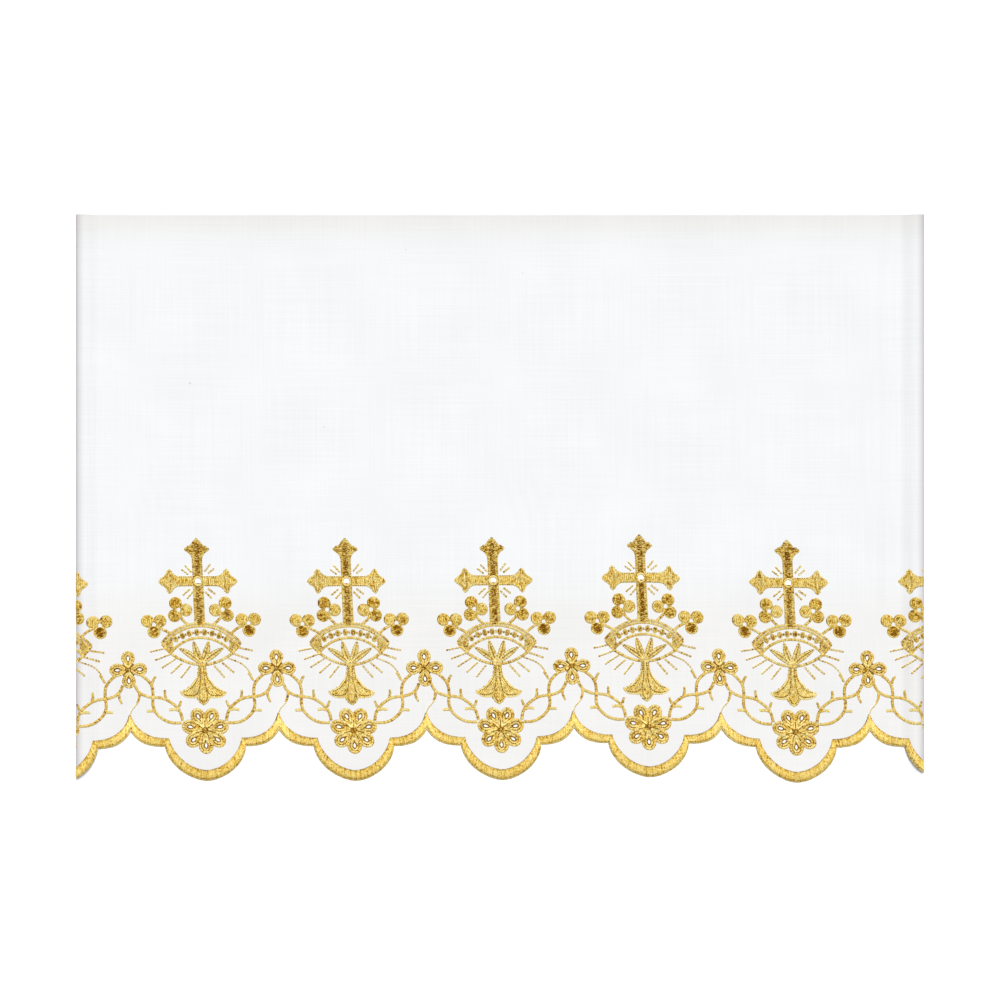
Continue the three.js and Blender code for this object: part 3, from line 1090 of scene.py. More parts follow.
    def piece(self, name: str) -> bpy.types.Object:
        """Lays all the stitches on the cloth.

        Args:
            name: the piece's name.

        Returns:
            The piece.
        """
        table = np.vstack(self.batches)
        table = table[self.kept(table)]
        length = np.linalg.norm(table[:, 2:4] - table[:, 0:2], axis=1)
        solids, numbers, tones, twists = [], [], [], []
        start = 0
        for chosen, (verts, faces) in self.stitches.sorts(length):
            if not chosen.any():
                continue
            solid, tone, twist = self.copies(table[chosen], length[chosen], verts)
            count = int(chosen.sum())
            steps = (start + np.arange(count) * len(verts))[:, None, None]
            numbers.append((faces[None] + steps).reshape(-1, 3))
            solids.append(solid)
            tones.append(tone)
            twists.append(twist)
            start += count * len(verts)
        piece = mesh_object(name, np.vstack(solids), np.vstack(numbers))
        for label, values in (("tone", tones), ("twist", twists)):
            layer = piece.data.attributes.new(label, "FLOAT", "POINT")
            layer.data.foreach_set("value", np.concatenate(values).astype(np.float32))
        return piece

    def copies(
        self, table: np.ndarray, length: np.ndarray, verts: np.ndarray
    ) -> tuple[np.ndarray, np.ndarray, np.ndarray]:
        """Copies one modelled stitch to every row of a table.

        Args:
            table: the stitches' rows.
            length: their lengths.
            verts: the modelled stitch's vertices.

        Returns:
            The copies' vertices in metres, their tones, and the turns of their twist.
        """
        first, last = table[:, 0:2], table[:, 2:4]
        crown, tone, half_width, half_height, base, end_shade, start_shade = table[:, 4:].T
        way = (last - first) / np.maximum(length, 1e-6)[:, None]
        side = np.column_stack([-way[:, 1], way[:, 0]])
        share = np.repeat(verts[None, :, 0], len(table), axis=0)
        inner = np.unique(verts[:, 0].round(4))[1]
        taper = np.minimum(inner, self.stitches.end_taper / length)[:, None]
        share[:, np.isclose(verts[:, 0], inner, atol=1e-3)] = taper
        share[:, np.isclose(verts[:, 0], 1 - inner, atol=1e-3)] = 1 - taper
        arch = np.sqrt(np.clip(1 - (2 * share - 1) ** 2, 0, 1))
        flat = (
            first[:, None, :]
            + (last - first)[:, None, :] * share[:, :, None]
            + side[:, None, :] * (half_width[:, None] * verts[None, :, 1])[:, :, None]
        )
        limit = self.cloth.fold.edge - FOLD_MARGIN / 2
        flat[:, :, 0] = np.clip(flat[:, :, 0], -limit, limit)
        height = (
            self.cloth.height(flat.reshape(-1, 2)).reshape(len(table), -1)
            + base[:, None]
            + crown[:, None] * arch
            + half_height[:, None] * verts[None, :, 2]
        )
        shift = np.array([0.0, self.cloth.hem_y()])
        solid = np.concatenate([flat + shift, height[:, :, None]], axis=2).reshape(-1, 3) * MM
        # Painted shade towards the stitch ends and its start; painted light at the start where
        # start_shade is below zero.
        tones = tone[:, None] - end_shade[:, None] * (1 - arch) - start_shade[:, None] * (1 - share)
        twist = share * length[:, None] / TWIST_LENGTH + TWIST_LEAN * verts[None, :, 1]
        return solid, np.clip(tones, 0, 1).ravel(), twist.ravel()

    def kept(self, table: np.ndarray) -> np.ndarray:
        """Clips the stitches that run over the cloth's fold, and says which are left."""
        limit = self.cloth.fold.edge - FOLD_MARGIN
        for one, other in ((0, 2), (2, 0)):
            over = (np.abs(table[:, one]) > limit) & (np.abs(table[:, other]) < limit)
            edge = np.sign(table[over, one]) * limit
            share = (edge - table[over, other]) / (table[over, one] - table[over, other])
            climb = table[over, one + 1] - table[over, other + 1]
            table[over, one + 1] = table[over, other + 1] + share * climb
            table[over, one] = edge
        on_face = (np.abs(table[:, 0]) <= limit) & (np.abs(table[:, 2]) <= limit)
        return on_face & (np.linalg.norm(table[:, 2:4] - table[:, 0:2], axis=1) > SHORTEST_STITCH)


@dataclass(frozen=True)
class Pucker:
    """A group of soft upright ridges that the embroidery draws in the cloth."""

    x: float
    y: float
    spread_x: float
    spread_y: float
    wave: float
    height: float


@dataclass
class ClothSheet:
    """The white cloth: one thin closed sheet with scallops, eyelets, folded sides and soft creases."""

    border: BorderMap = BorderMap()
    fold: FoldProfile = FoldProfile()
    rise: float = 509.1
    edge_inset: float = 0.35
    column_step: float = 3.0
    flap_columns: int = 3
    row_step: float = 7.0
    lowest_row: float = -4.0
    edge_room: float = 1.6
    eyelet_room: float = 1.0
    crease_x: float = -49.5
    crease_low: float = -37.0
    crease_high: float = 152.0
    crease_fades: Pair = (30.0, 45.0)
    crease_half: float = 2.6
    crease_sway: float = 1.4
    sway_length: float = 37.0
    crease_height: float = 0.5
    pucker_lean: float = 0.18
    pucker_sway: float = 0.8
    pucker_sway_length: float = 11.0
    relief_fade: float = 12.0
    smooth_angle: float = 40.0
    puckers: tuple[Pucker, ...] = (
        Pucker(-315.0, -8.0, 22.0, 26.0, 11.0, 0.5),
        Pucker(27.0, -8.0, 30.0, 28.0, 12.5, 0.5),
        Pucker(-190.0, -22.0, 24.0, 22.0, 10.0, 0.3),
        Pucker(190.0, -20.0, 26.0, 24.0, 12.0, 0.32),
    )
    flat_area: float = 0.0
    flat_size: Pair = (0.0, 0.0)

    def hem_y(self) -> float:
        """The hem line's y in the frame, in millimetres, from the solid's top edge."""
        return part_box("cloth")[1].y / MM - self.rise

    def lower_line(self) -> np.ndarray:
        """The scalloped lower edge on the cloth, left to right, y from the hem line."""
        one = np.vstack([
            mirrored(OUTER_LINE.shallow(14))[::-1][:-1],
            OUTER_LINE.deep(40),
            OUTER_LINE.shallow(14)[1:-1],
        ])
        lines = [self.border.to_cloth(number, one) for number in range(len(self.border.repeats))]
        return np.vstack(lines) + np.array([0.0, self.edge_inset])

    def eyelets(self) -> list[np.ndarray]:
        """Every cut eyelet's outline on the cloth, y from the hem line."""
        cross = disc(CROSS_CENTRE, CROSS_EYELET_RADIUS, 20)
        deep = [SCALLOP_FLOWER.eyelet(turn) for turn in SCALLOP_FLOWER.turns()]
        between = [SPRIG_FLOWER.eyelet(turn) for turn in SPRIG_FLOWER.turns()]
        shapes = [(repeat, shape) for repeat in WHOLE_REPEATS for shape in (*deep, cross)]
        shapes += [(place, shape) for place in SPRIG_PLACES for shape in between]
        return [self.border.to_cloth(place, shape) for place, shape in shapes]

    def relief(self, x: np.ndarray, y: np.ndarray) -> np.ndarray:
        """How far the cloth stands up from its section in soft creases.

        Args:
            x: places across.
            y: places along Y in the frame.

        Returns:
            Heights in millimetres, never under zero.
        """
        off = x - self.crease_x - self.crease_sway * np.sin(y / self.sway_length)
        low_fade, high_fade = self.crease_fades
        ends = eased((y - self.crease_low) / low_fade) * eased((self.crease_high - y) / high_fade)
        total = self.crease_height * ends * np.exp(-((off / self.crease_half) ** 2))
        sway = self.pucker_sway * np.sin(y / self.pucker_sway_length)
        for one in self.puckers:
            envelope = np.exp(-(((x - one.x) / one.spread_x) ** 2) - ((y - one.y) / one.spread_y) ** 2)
            phase = 2 * math.pi * (x - one.x + self.pucker_lean * (y - one.y)) / one.wave
            total = total + one.height * envelope * (0.5 + 0.5 * np.cos(phase + sway))
        return total * eased((self.fold.edge - self.fold.step_end - np.abs(x)) / self.relief_fade)

    def height(self, points: np.ndarray) -> np.ndarray:
        """Height of the face at rows of (x, y), y from the hem line."""
        relief = self.relief(points[:, 0], points[:, 1] + self.hem_y())
        return self.fold.face_height(points[:, 0]) + relief

    def columns(self) -> np.ndarray:
        """Ways from the centre where the sheet's columns of points stand."""
        section = self.fold.whole()
        folded = section[len(section) // 2 + 1 : -1, 0]
        level = np.arange(0, folded[0], self.column_step)
        flap = np.linspace(folded[-1], section[-1, 0], self.flap_columns + 1)[1:]
        half = np.concatenate([level, folded, flap])
        return np.concatenate([-half[:0:-1], half])

    def edge_height(self, way: np.ndarray) -> np.ndarray:
        """The lower edge's y at ways from the centre; a flap's is that of the face over it."""
        section, lower = self.fold.whole(), self.lower_line()
        return np.interp(np.interp(way, section[:, 0], section[:, 1]), lower[:, 0], lower[:, 1])

    def outline(self) -> np.ndarray:
        """The sheet's outline laid flat, as rows of (way from the centre, y)."""
        lower, columns = self.lower_line(), self.columns()
        level = lower[np.abs(lower[:, 0]) < self.fold.edge - self.fold.step_end]
        face_ways = self.fold.front_way(level[:, 0])
        side_ways = columns[np.abs(columns) > np.abs(face_ways).max() + 0.5]
        ways = np.sort(np.concatenate([face_ways, side_ways]))
        bottom = np.column_stack([ways, self.edge_height(ways)])
        bottom[np.isin(ways, face_ways), 1] = level[:, 1]
        top = np.column_stack([columns[::-1], np.full(len(columns), self.rise)])
        return np.vstack([bottom, top])

    def build(self) -> bpy.types.Object:
        """Builds the sheet: triangles between its outline and eyelets, laid on the section."""
        columns = self.columns()
        holes = [
            np.column_stack([self.fold.front_way(outline[:, 0]), outline[:, 1]])
            for outline in self.eyelets()
        ]
        levels = np.arange(self.lowest_row, self.rise - self.row_step / 2, self.row_step)
        grid = np.array([(way, y) for way in columns[1:-1] for y in levels])
        clear = grid[:, 1] > self.edge_height(grid[:, 0]) + self.edge_room
        for hole in holes:
            centre = hole.mean(axis=0)
            size = np.abs(hole - centre).max() + self.eyelet_room
            clear &= np.abs(grid - centre).max(axis=1) > size
        flat, faces = self.triangles(self.outline(), holes, grid[clear], columns[-1])
        return self.closed_sheet(flat, faces, self.fold.whole())

    def triangles(
        self,
        loop: np.ndarray,
        holes: list[np.ndarray],
        grid: np.ndarray,
        reach: float,
    ) -> tuple[np.ndarray, np.ndarray]:
        """Joins outline, eyelets and inner points in triangles.

        Args:
            loop: the outline's points.
            holes: the eyelets' outlines.
            grid: the inner points.
            reach: the sheet's half width laid flat.

        Returns:
            The flat points, and the triangles that lie on cloth.
        """
        points, edges = [], []
        for ring in (loop, *holes):
            start, count = len(points), len(ring)
            points += [*ring]
            edges += [(start + number, start + (number + 1) % count) for number in range(count)]
        points += [*grid]
        result = delaunay_2d_cdt([Vector(point) for point in points], edges, [], 0, 1e-5, False)
        flat = np.array([tuple(point) for point in result[0]])
        faces = np.array([tuple(face) for face in result[2]])
        middle = flat[faces].mean(axis=1)
        on_cloth = (middle[:, 1] > self.edge_height(middle[:, 0])) & (np.abs(middle[:, 0]) < reach)
        for hole in holes:
            centre = hole.mean(axis=0)
            near = np.flatnonzero(np.abs(middle - centre).max(axis=1) < np.abs(hole - centre).max())
            on_cloth[near[inside(middle[near], hole)]] = False
        return flat, faces[on_cloth]

    def closed_sheet(self, flat: np.ndarray, faces: np.ndarray, section: np.ndarray) -> bpy.types.Object:
        """Lays flat triangles on the section and closes them to a sheet with a thickness.

        Args:
            flat: rows of (way from the centre, y).
            faces: the triangles.
            section: the cloth's middle line.

        Returns:
            The sheet.
        """
        used, numbers = np.unique(faces, return_inverse=True)
        flat, faces = flat[used], numbers.reshape(faces.shape)
        x, z = points_at(section[:, 1:], section[:, 0], flat[:, 0]).T
        slopes = np.gradient(section[:, 1:], section[:, 0], axis=0)
        slopes /= np.linalg.norm(slopes, axis=1)[:, None]
        run, climb = points_at(slopes, section[:, 0], flat[:, 0]).T
        out = np.column_stack([-climb, np.zeros(len(flat)), run])
        y = flat[:, 1] + self.hem_y()
        z = z + self.relief(x, y) * (run > 0)
        middle = np.column_stack([x, y, z])
        half = self.fold.thickness / 2
        verts = np.vstack([middle + half * out, middle - half * out])
        count = len(flat)
        corners = faces[:, [0, 1, 1, 2, 2, 0]].reshape(-1, 2)
        keys = corners[:, 0] * count + corners[:, 1]
        partner = corners[:, 1] * count + corners[:, 0]
        rim = corners[~np.isin(keys, partner)]
        one, other = rim[:, 0], rim[:, 1]
        walls = np.vstack([
            np.column_stack([other, one, one + count]),
            np.column_stack([other, one + count, other + count]),
        ])
        sheet = np.vstack([faces, faces[:, ::-1] + count, walls])
        piece = mesh_object("cloth_sheet", verts * MM, sheet)
        select_only(piece)
        bpy.ops.object.shade_smooth_by_angle(angle=math.radians(self.smooth_angle))
        self.flat_area = float(self.areas(flat, faces).sum()) * MM * MM
        self.flat_size = (2 * section[-1, 0] * MM, float(np.ptp(flat[:, 1])) * MM)
        return piece

    @staticmethod
    def areas(flat: np.ndarray, faces: np.ndarray) -> np.ndarray:
        """Each flat triangle's area."""
        one = flat[faces[:, 1]] - flat[faces[:, 0]]
        other = flat[faces[:, 2]] - flat[faces[:, 0]]
        return np.abs(one[:, 0] * other[:, 1] - one[:, 1] * other[:, 0]) / 2


def inside(points: np.ndarray, outline: np.ndarray) -> np.ndarray:
    """Says which points lie inside an outline."""
    odd = np.zeros(len(points), bool)
    for start, end in zip(outline, np.roll(outline, -1, axis=0)):
        crosses = (start[1] <= points[:, 1]) != (end[1] <= points[:, 1])
        with np.errstate(divide="ignore", invalid="ignore"):
            at = start[0] + (points[:, 1] - start[1]) / (end[1] - start[1]) * (end[0] - start[0])
        odd ^= crosses & (points[:, 0] < at)
    return odd


def arc_over(half: float, base: float, rise: float, steps: int) -> np.ndarray:
    """A circle's arc over a level chord, left to right.

    Args:
        half: half the chord.
        base: the chord's height.
        rise: the arc's height over it.
        steps: stretches along the arc.

    Returns:
        Rows of (along, up).
    """
    radius = (half**2 + rise**2) / (2 * rise)
    reach = math.asin(half / radius)
    angle = np.linspace(-reach, reach, steps + 1)
    return np.column_stack([radius * np.sin(angle), base + rise - radius + radius * np.cos(angle)])


class SewnPiece:
    """A piece of embroidery that covers some solids; each kind says what is sewn."""

    name: str
    nodes: tuple[str, ...]
    repeat: float
    seed: int

    def build(
        self, cloth: ClothSheet, stitches: StitchBox, material: bpy.types.Material
    ) -> bpy.types.Object:
        """Sews the piece and dresses it.

        Args:
            cloth: the cloth.
            stitches: the stitches that are copied.
            material: the thread's finish.

        Returns:
            The piece.
        """
        work = Needlework(cloth, stitches, self.repeat, self.seed)
        self.sew(work)
        piece = work.piece(self.name)
        seat(piece, Slot.GOLD, material, self.nodes)
        return piece

    def sew(self, work: Needlework) -> None:
        """Sews what the piece consists of."""
        raise NotImplementedError


@dataclass
class ScallopedBorder(SewnPiece):
    """The satin-stitched edge along the scallops, its inner edge marked and a ridge shaded with a dark
    running line of painted shade.
    """

    name: str = "border_satin"
    nodes: tuple[str, ...] = ("scalloped_border",)
    repeat: float = 0
    seed: int = 11
    # start_shade below zero paints light on the outer side of the satin.
    thread: Thread = Thread(
        tone=0.48, crown=0.85, pitch=0.44, uneven=0.12, end_shade=0.02, start_shade=-0.15
    )
    edge_line: Dashes = Dashes(marking(0.16, 0.34, uneven=0.15, overrun=0.22), 1.4, 0.7, 0.5)
    # Painted shade: a dark running line inside the outer edge, laid only over the first points of each
    # scallop line.
    ridge_shade_line: Dashes = Dashes(marking(0.31, 1.0), 1.5, 0.5, 0.85)
    ridge_place: float = 0.21
    shaded_points: int = 52
    deep_steps: int = 80
    shallow_steps: int = 40

    def sew(self, work: Needlework) -> None:
        """Sews the edge all along the hem."""
        deep = (OUTER_LINE.deep(self.deep_steps), INNER_LINE.deep(self.deep_steps))
        right = (OUTER_LINE.shallow(self.shallow_steps), INNER_LINE.shallow(self.shallow_steps))
        left = (mirrored(right[0]), mirrored(right[1]))
        for number in range(len(work.cloth.border.repeats)):
            shift = np.array([number * work.cloth.border.pitch, 0.0])
            for outer, inner in (deep, right, left):
                work.satin(outer + shift, inner + shift, self.thread)
            for _, inner in (deep, right, left):
                work.dashes(inner + shift, self.edge_line)
            # Painted shade along the ridge, over the left and bottom of each deep scallop and all of
            # each shallow one.
            for outer, inner in (deep, right, left):
                ridge = outer + self.ridge_place * (inner - outer)
                work.dashes(ridge[: self.shaded_points] + shift, self.ridge_shade_line)


@dataclass(frozen=True)
class PetalRing:
    """A flower's petals: a satin ring round each eyelet, a second ring outside it, and dark seams."""

    flower: Flower
    split: float = 0.45
    ring: Thread = Thread(tone=0.68, crown=0.5, pitch=0.5, uneven=0.2, end_shade=0.13)
    seam: Thread = marking(0.06, 0.66, overrun=0.1)
    between: Dashes = Dashes(marking(0.04, 0.86, uneven=0.2, overrun=0.22), 1.7, 0.35, 1.15)
    # A dark running line that lies down inside each eyelet: partly thread wrapped into it, partly
    # painted shade that greys the opening.
    lip_and_painted_shade: Dashes = Dashes(marking(0.12, -0.15, crown=0.0, overrun=0.1), 1.3, 0.05, 1.2)
    lip_inset: float = 0.35
    seam_stretches: tuple[slice, ...] = (slice(9, 22), slice(27, 40))
    tail: Pair = (3.2, 4.9)
    gap_start: float = 1.5
    gap_reach: float = 0.44
    heart: Thread = Thread(tone=0.22, crown=0.25, base=0.8, uneven=0.25)
    heart_reach: float = 0.135

    def sew(self, work: Needlework) -> None:
        """Sews every petal, the seams between them and the flower's centre."""
        for turn in self.flower.turns():
            self.sew_petal(work, turn)
        centre = np.array(self.flower.centre)
        for turn in self.flower.turns():
            angle = math.radians(turn + 180.0 / self.flower.petals)
            way = np.array([math.cos(angle), math.sin(angle)])
            reach = self.gap_reach * self.flower.reach
            work.dashes(evenly(centre + np.outer((self.gap_start, reach), way), 6), self.between)
        work.fill(disc(centre, self.heart_reach * self.flower.reach, 12), 90.0, self.heart, longest=1.5)

    def sew_petal(self, work: Needlework, turn: float) -> None:
        """Sews one petal; its direction is in degrees."""
        outer = self.flower.petal(turn)
        inner = self.flower.eyelet(turn, 0.1, steps=48)
        middle = inner + self.split * (outer - inner)
        work.satin(closed(outer), closed(middle), self.ring)
        work.satin(closed(middle), closed(inner), self.ring)
        for stretch in self.seam_stretches:
            work.dashes(middle[stretch], Dashes(self.seam, 1.3, 0.5, 0.9))
        # Dark lip inside the eyelet, partly painted shade of the opening.
        work.dashes(closed(self.flower.eyelet(turn, -self.lip_inset, steps=24)), self.lip_and_painted_shade)
        tail = np.array([[self.flower.eyelet_at - inward, 0.0] for inward in self.tail])
        work.dashes(turned(tail, turn, self.flower.centre), Dashes(self.seam, 1.7, 0.0, 1.3))


class FlowerPiece(SewnPiece):
    """The seven-petal flower in a deep scallop."""

    def __init__(self, repeat: int) -> None:
        """Names the flower of one repeat."""
        self.name = f"flower_{repeat}"
        self.nodes = (f"scallop_flower_{repeat}",)
        self.repeat = repeat
        self.seed = 100 + repeat

    def sew(self, work: Needlework) -> None:
        """Sews the flower."""
        PetalRing(SCALLOP_FLOWER).sew(work)


UPPER_VINE = (
    (-11.5, 96.2), (-15.6, 92.9), (-18.9, 89.3), (-20.7, 85.6), (-21.3, 81.5), (-21.4, 76.0),
    (-20.8, 71.4), (-21.2, 66.8), (-22.7, 62.8), (-26.0, 58.7), (-30.7, 55.1), (-35.4, 53.0),
    (-40.5, 52.2), (-45.6, 52.4),
)
LOWER_VINE = (
    (-5.2, 88.0), (-7.0, 83.7), (-9.4, 80.4), (-13.0, 78.0), (-18.2, 76.2), (-23.5, 75.6),
    (-28.2, 75.0), (-32.8, 73.6), (-37.0, 70.9), (-40.8, 67.9), (-43.8, 64.4), (-45.8, 59.8),
    (-46.9, 54.2),
)
STEEP_TWIGS = (
    ((-9.3, 80.6), (-8.7, 75.4), (-6.8, 71.0)),
    ((-33.0, 74.2), (-32.1, 77.8), (-32.1, 82.0)),
    ((-44.2, 66.4), (-45.2, 69.4), (-46.2, 72.0)),
)
LEVEL_TWIGS = (
    ((-21.6, 63.6), (-18.8, 63.7), (-15.2, 63.4)),
    ((-43.6, 63.6), (-39.8, 64.6), (-35.2, 64.0)),
)
RIGHT_TWIG = ((20.8, 87.4), (22.2, 91.5), (24.2, 94.4))
CUSP_TENDRIL = ((7.2, 71.0), (4.2, 67.6), (1.6, 65.0), (0.4, 61.5))


class Sprig(SewnPiece):
    """A four-petal flower with two vines at each side, their twigs and a tendril to the cusp."""

    vine_width: float = 2.55
    twig_width: float = 2.3
    level_width: float = 2.6
    vine: Thread = Thread(tone=0.62, crown=0.45, pitch=0.46, slant=0.5, uneven=0.12, padded=False)
    pale: Thread = Thread(tone=0.74, crown=0.3, slant=0.5, padded=False)
    soft_seam: Thread = marking(0.2, 0.62, uneven=0.15, overrun=0.1)

    def __init__(self, place: float) -> None:
        """Names the sprig.

        Args:
            place: where it stands, a number and a half between two repeats.
        """
        number = int(place + 0.5)
        self.name = f"sprig_work_{number}"
        self.nodes = (f"sprig_{number}",)
        self.repeat = place
        self.seed = 200 + number

    def sew(self, work: Needlework) -> None:
        """Sews vines, twigs, tendril and flower; the vines are measured on the left."""
        for side in (Side.RIGHT, Side.LEFT):
            for vine in (LOWER_VINE, UPPER_VINE):
                work.line(smooth_route(vine, 60) * side.flip, self.vine_width, self.vine)
            for twig in STEEP_TWIGS:
                work.line(smooth_route(twig, 12) * side.flip, self.twig_width, self.vine, taper=0.3)
            for twig in LEVEL_TWIGS:
                work.line(smooth_route(twig, 12) * side.flip, self.level_width, self.pale, taper=0.1)
        work.line(smooth_route(RIGHT_TWIG, 12), self.twig_width, self.vine, taper=0.2)
        work.dashes(smooth_route(CUSP_TENDRIL, 16), Dashes(self.pale, 2.4, 0.2, 1.2))
        PetalRing(SPRIG_FLOWER, seam=self.soft_seam).sew(work)


@dataclass(frozen=True)
class DiscStyle:
    """How a disc is sewn: its filling, and the rim round it."""

    fill_inset: float
    rim_inset: float
    rim_width: float
    longest: float
    uneven: float


DARK_DISC = DiscStyle(fill_inset=1.5, rim_inset=0.95, rim_width=1.9, longest=1.7, uneven=0.28)
LIGHT_DISC = DiscStyle(fill_inset=0.7, rim_inset=0.7, rim_width=1.4, longest=2.6, uneven=0.16)


@dataclass(frozen=True)
class Disc:
    """One disc of a trefoil, and how dark its middle is."""

    centre: Pair
    tone: float
    radius: float = 5.85
    hub_radius: float = 2.5
    darkest_light: float = 0.375

    def cleared(self, inset: float, hub: np.ndarray, steps: int) -> np.ndarray:
        """The disc's outline some way in, pushed out of the trefoil's open middle.

        Args:
            inset: how far inside the disc's edge it runs.
            hub: the trefoil's middle.
            steps: points around it.

        Returns:
            Rows of (along, up).
        """
        apart = disc(self.centre, self.radius - inset, steps) - hub
        far = np.linalg.norm(apart, axis=1)
        return hub + apart * (np.maximum(far, self.hub_radius) / far)[:, None]

    def sew(self, work: Needlework, degrees: float, hub: np.ndarray) -> None:
        """Sews the disc's light rim and its filled middle, clear of the trefoil's hub."""
        style = DARK_DISC if self.tone < self.darkest_light else LIGHT_DISC
        middle = Thread(tone=self.tone, crown=0.5, base=0.3, uneven=style.uneven)
        work.fill(self.cleared(style.fill_inset, hub, 40), degrees, middle, style.longest)
        rim = Thread(
            tone=0.66, crown=0.4, base=0.12, slant=0.3, overrun=0.1, ragged=0.05, end_shade=0.12
        )
        work.line(closed(self.cleared(style.rim_inset, hub, 41)), style.rim_width, rim)


@dataclass(frozen=True)
class Trefoil:
    """Three discs on a stem that grows from the lid of the eye."""

    discs: tuple[Disc, Disc, Disc]
    stem: tuple[Pair, ...]
    stem_width: float = 2.3
    stem_thread: Thread = Thread(tone=0.60, crown=0.4, uneven=0.18, padded=False)
    first_degrees: float = 90.0
    degrees_step: float = -35.0

    def sew(self, work: Needlework) -> None:
        """Sews the stem and the discs, each with its stitches turned further."""
        work.line(smooth_route(self.stem, 20), self.stem_width, self.stem_thread)
        hub = np.mean([one.centre for one in self.discs], axis=0)
        for number, one in enumerate(self.discs):
            one.sew(work, self.first_degrees + self.degrees_step * number, hub)


TREFOILS = (
    Trefoil(
        (Disc((-21.3, 159.8), 0.39), Disc((-12.4, 153.7), 0.66), Disc((-22.8, 148.7), 0.57)),
        ((-17.6, 150.4), (-16.6, 146.2), (-14.2, 143.2), (-11.0, 140.4)),
    ),
    Trefoil(
        (Disc((23.1, 160.0), 0.38), Disc((14.1, 153.6), 0.68), Disc((24.5, 148.9), 0.58)),
        ((19.4, 151.0), (18.4, 147.0), (15.8, 144.0), (12.2, 141.0)),
    ),
    Trefoil(
        (Disc((-47.1, 144.4), 0.56), Disc((-36.0, 144.3), 0.59), Disc((-41.8, 134.7), 0.37)),
        ((-37.6, 139.0), (-34.4, 136.8), (-30.6, 134.9), (-26.9, 132.8)),
    ),
    Trefoil(
        (Disc((37.5, 144.9), 0.60), Disc((48.7, 145.3), 0.57), Disc((43.3, 135.5), 0.37)),
        ((38.6, 140.0), (35.2, 138.4), (31.4, 136.2), (27.6, 132.8)),
    ),
)


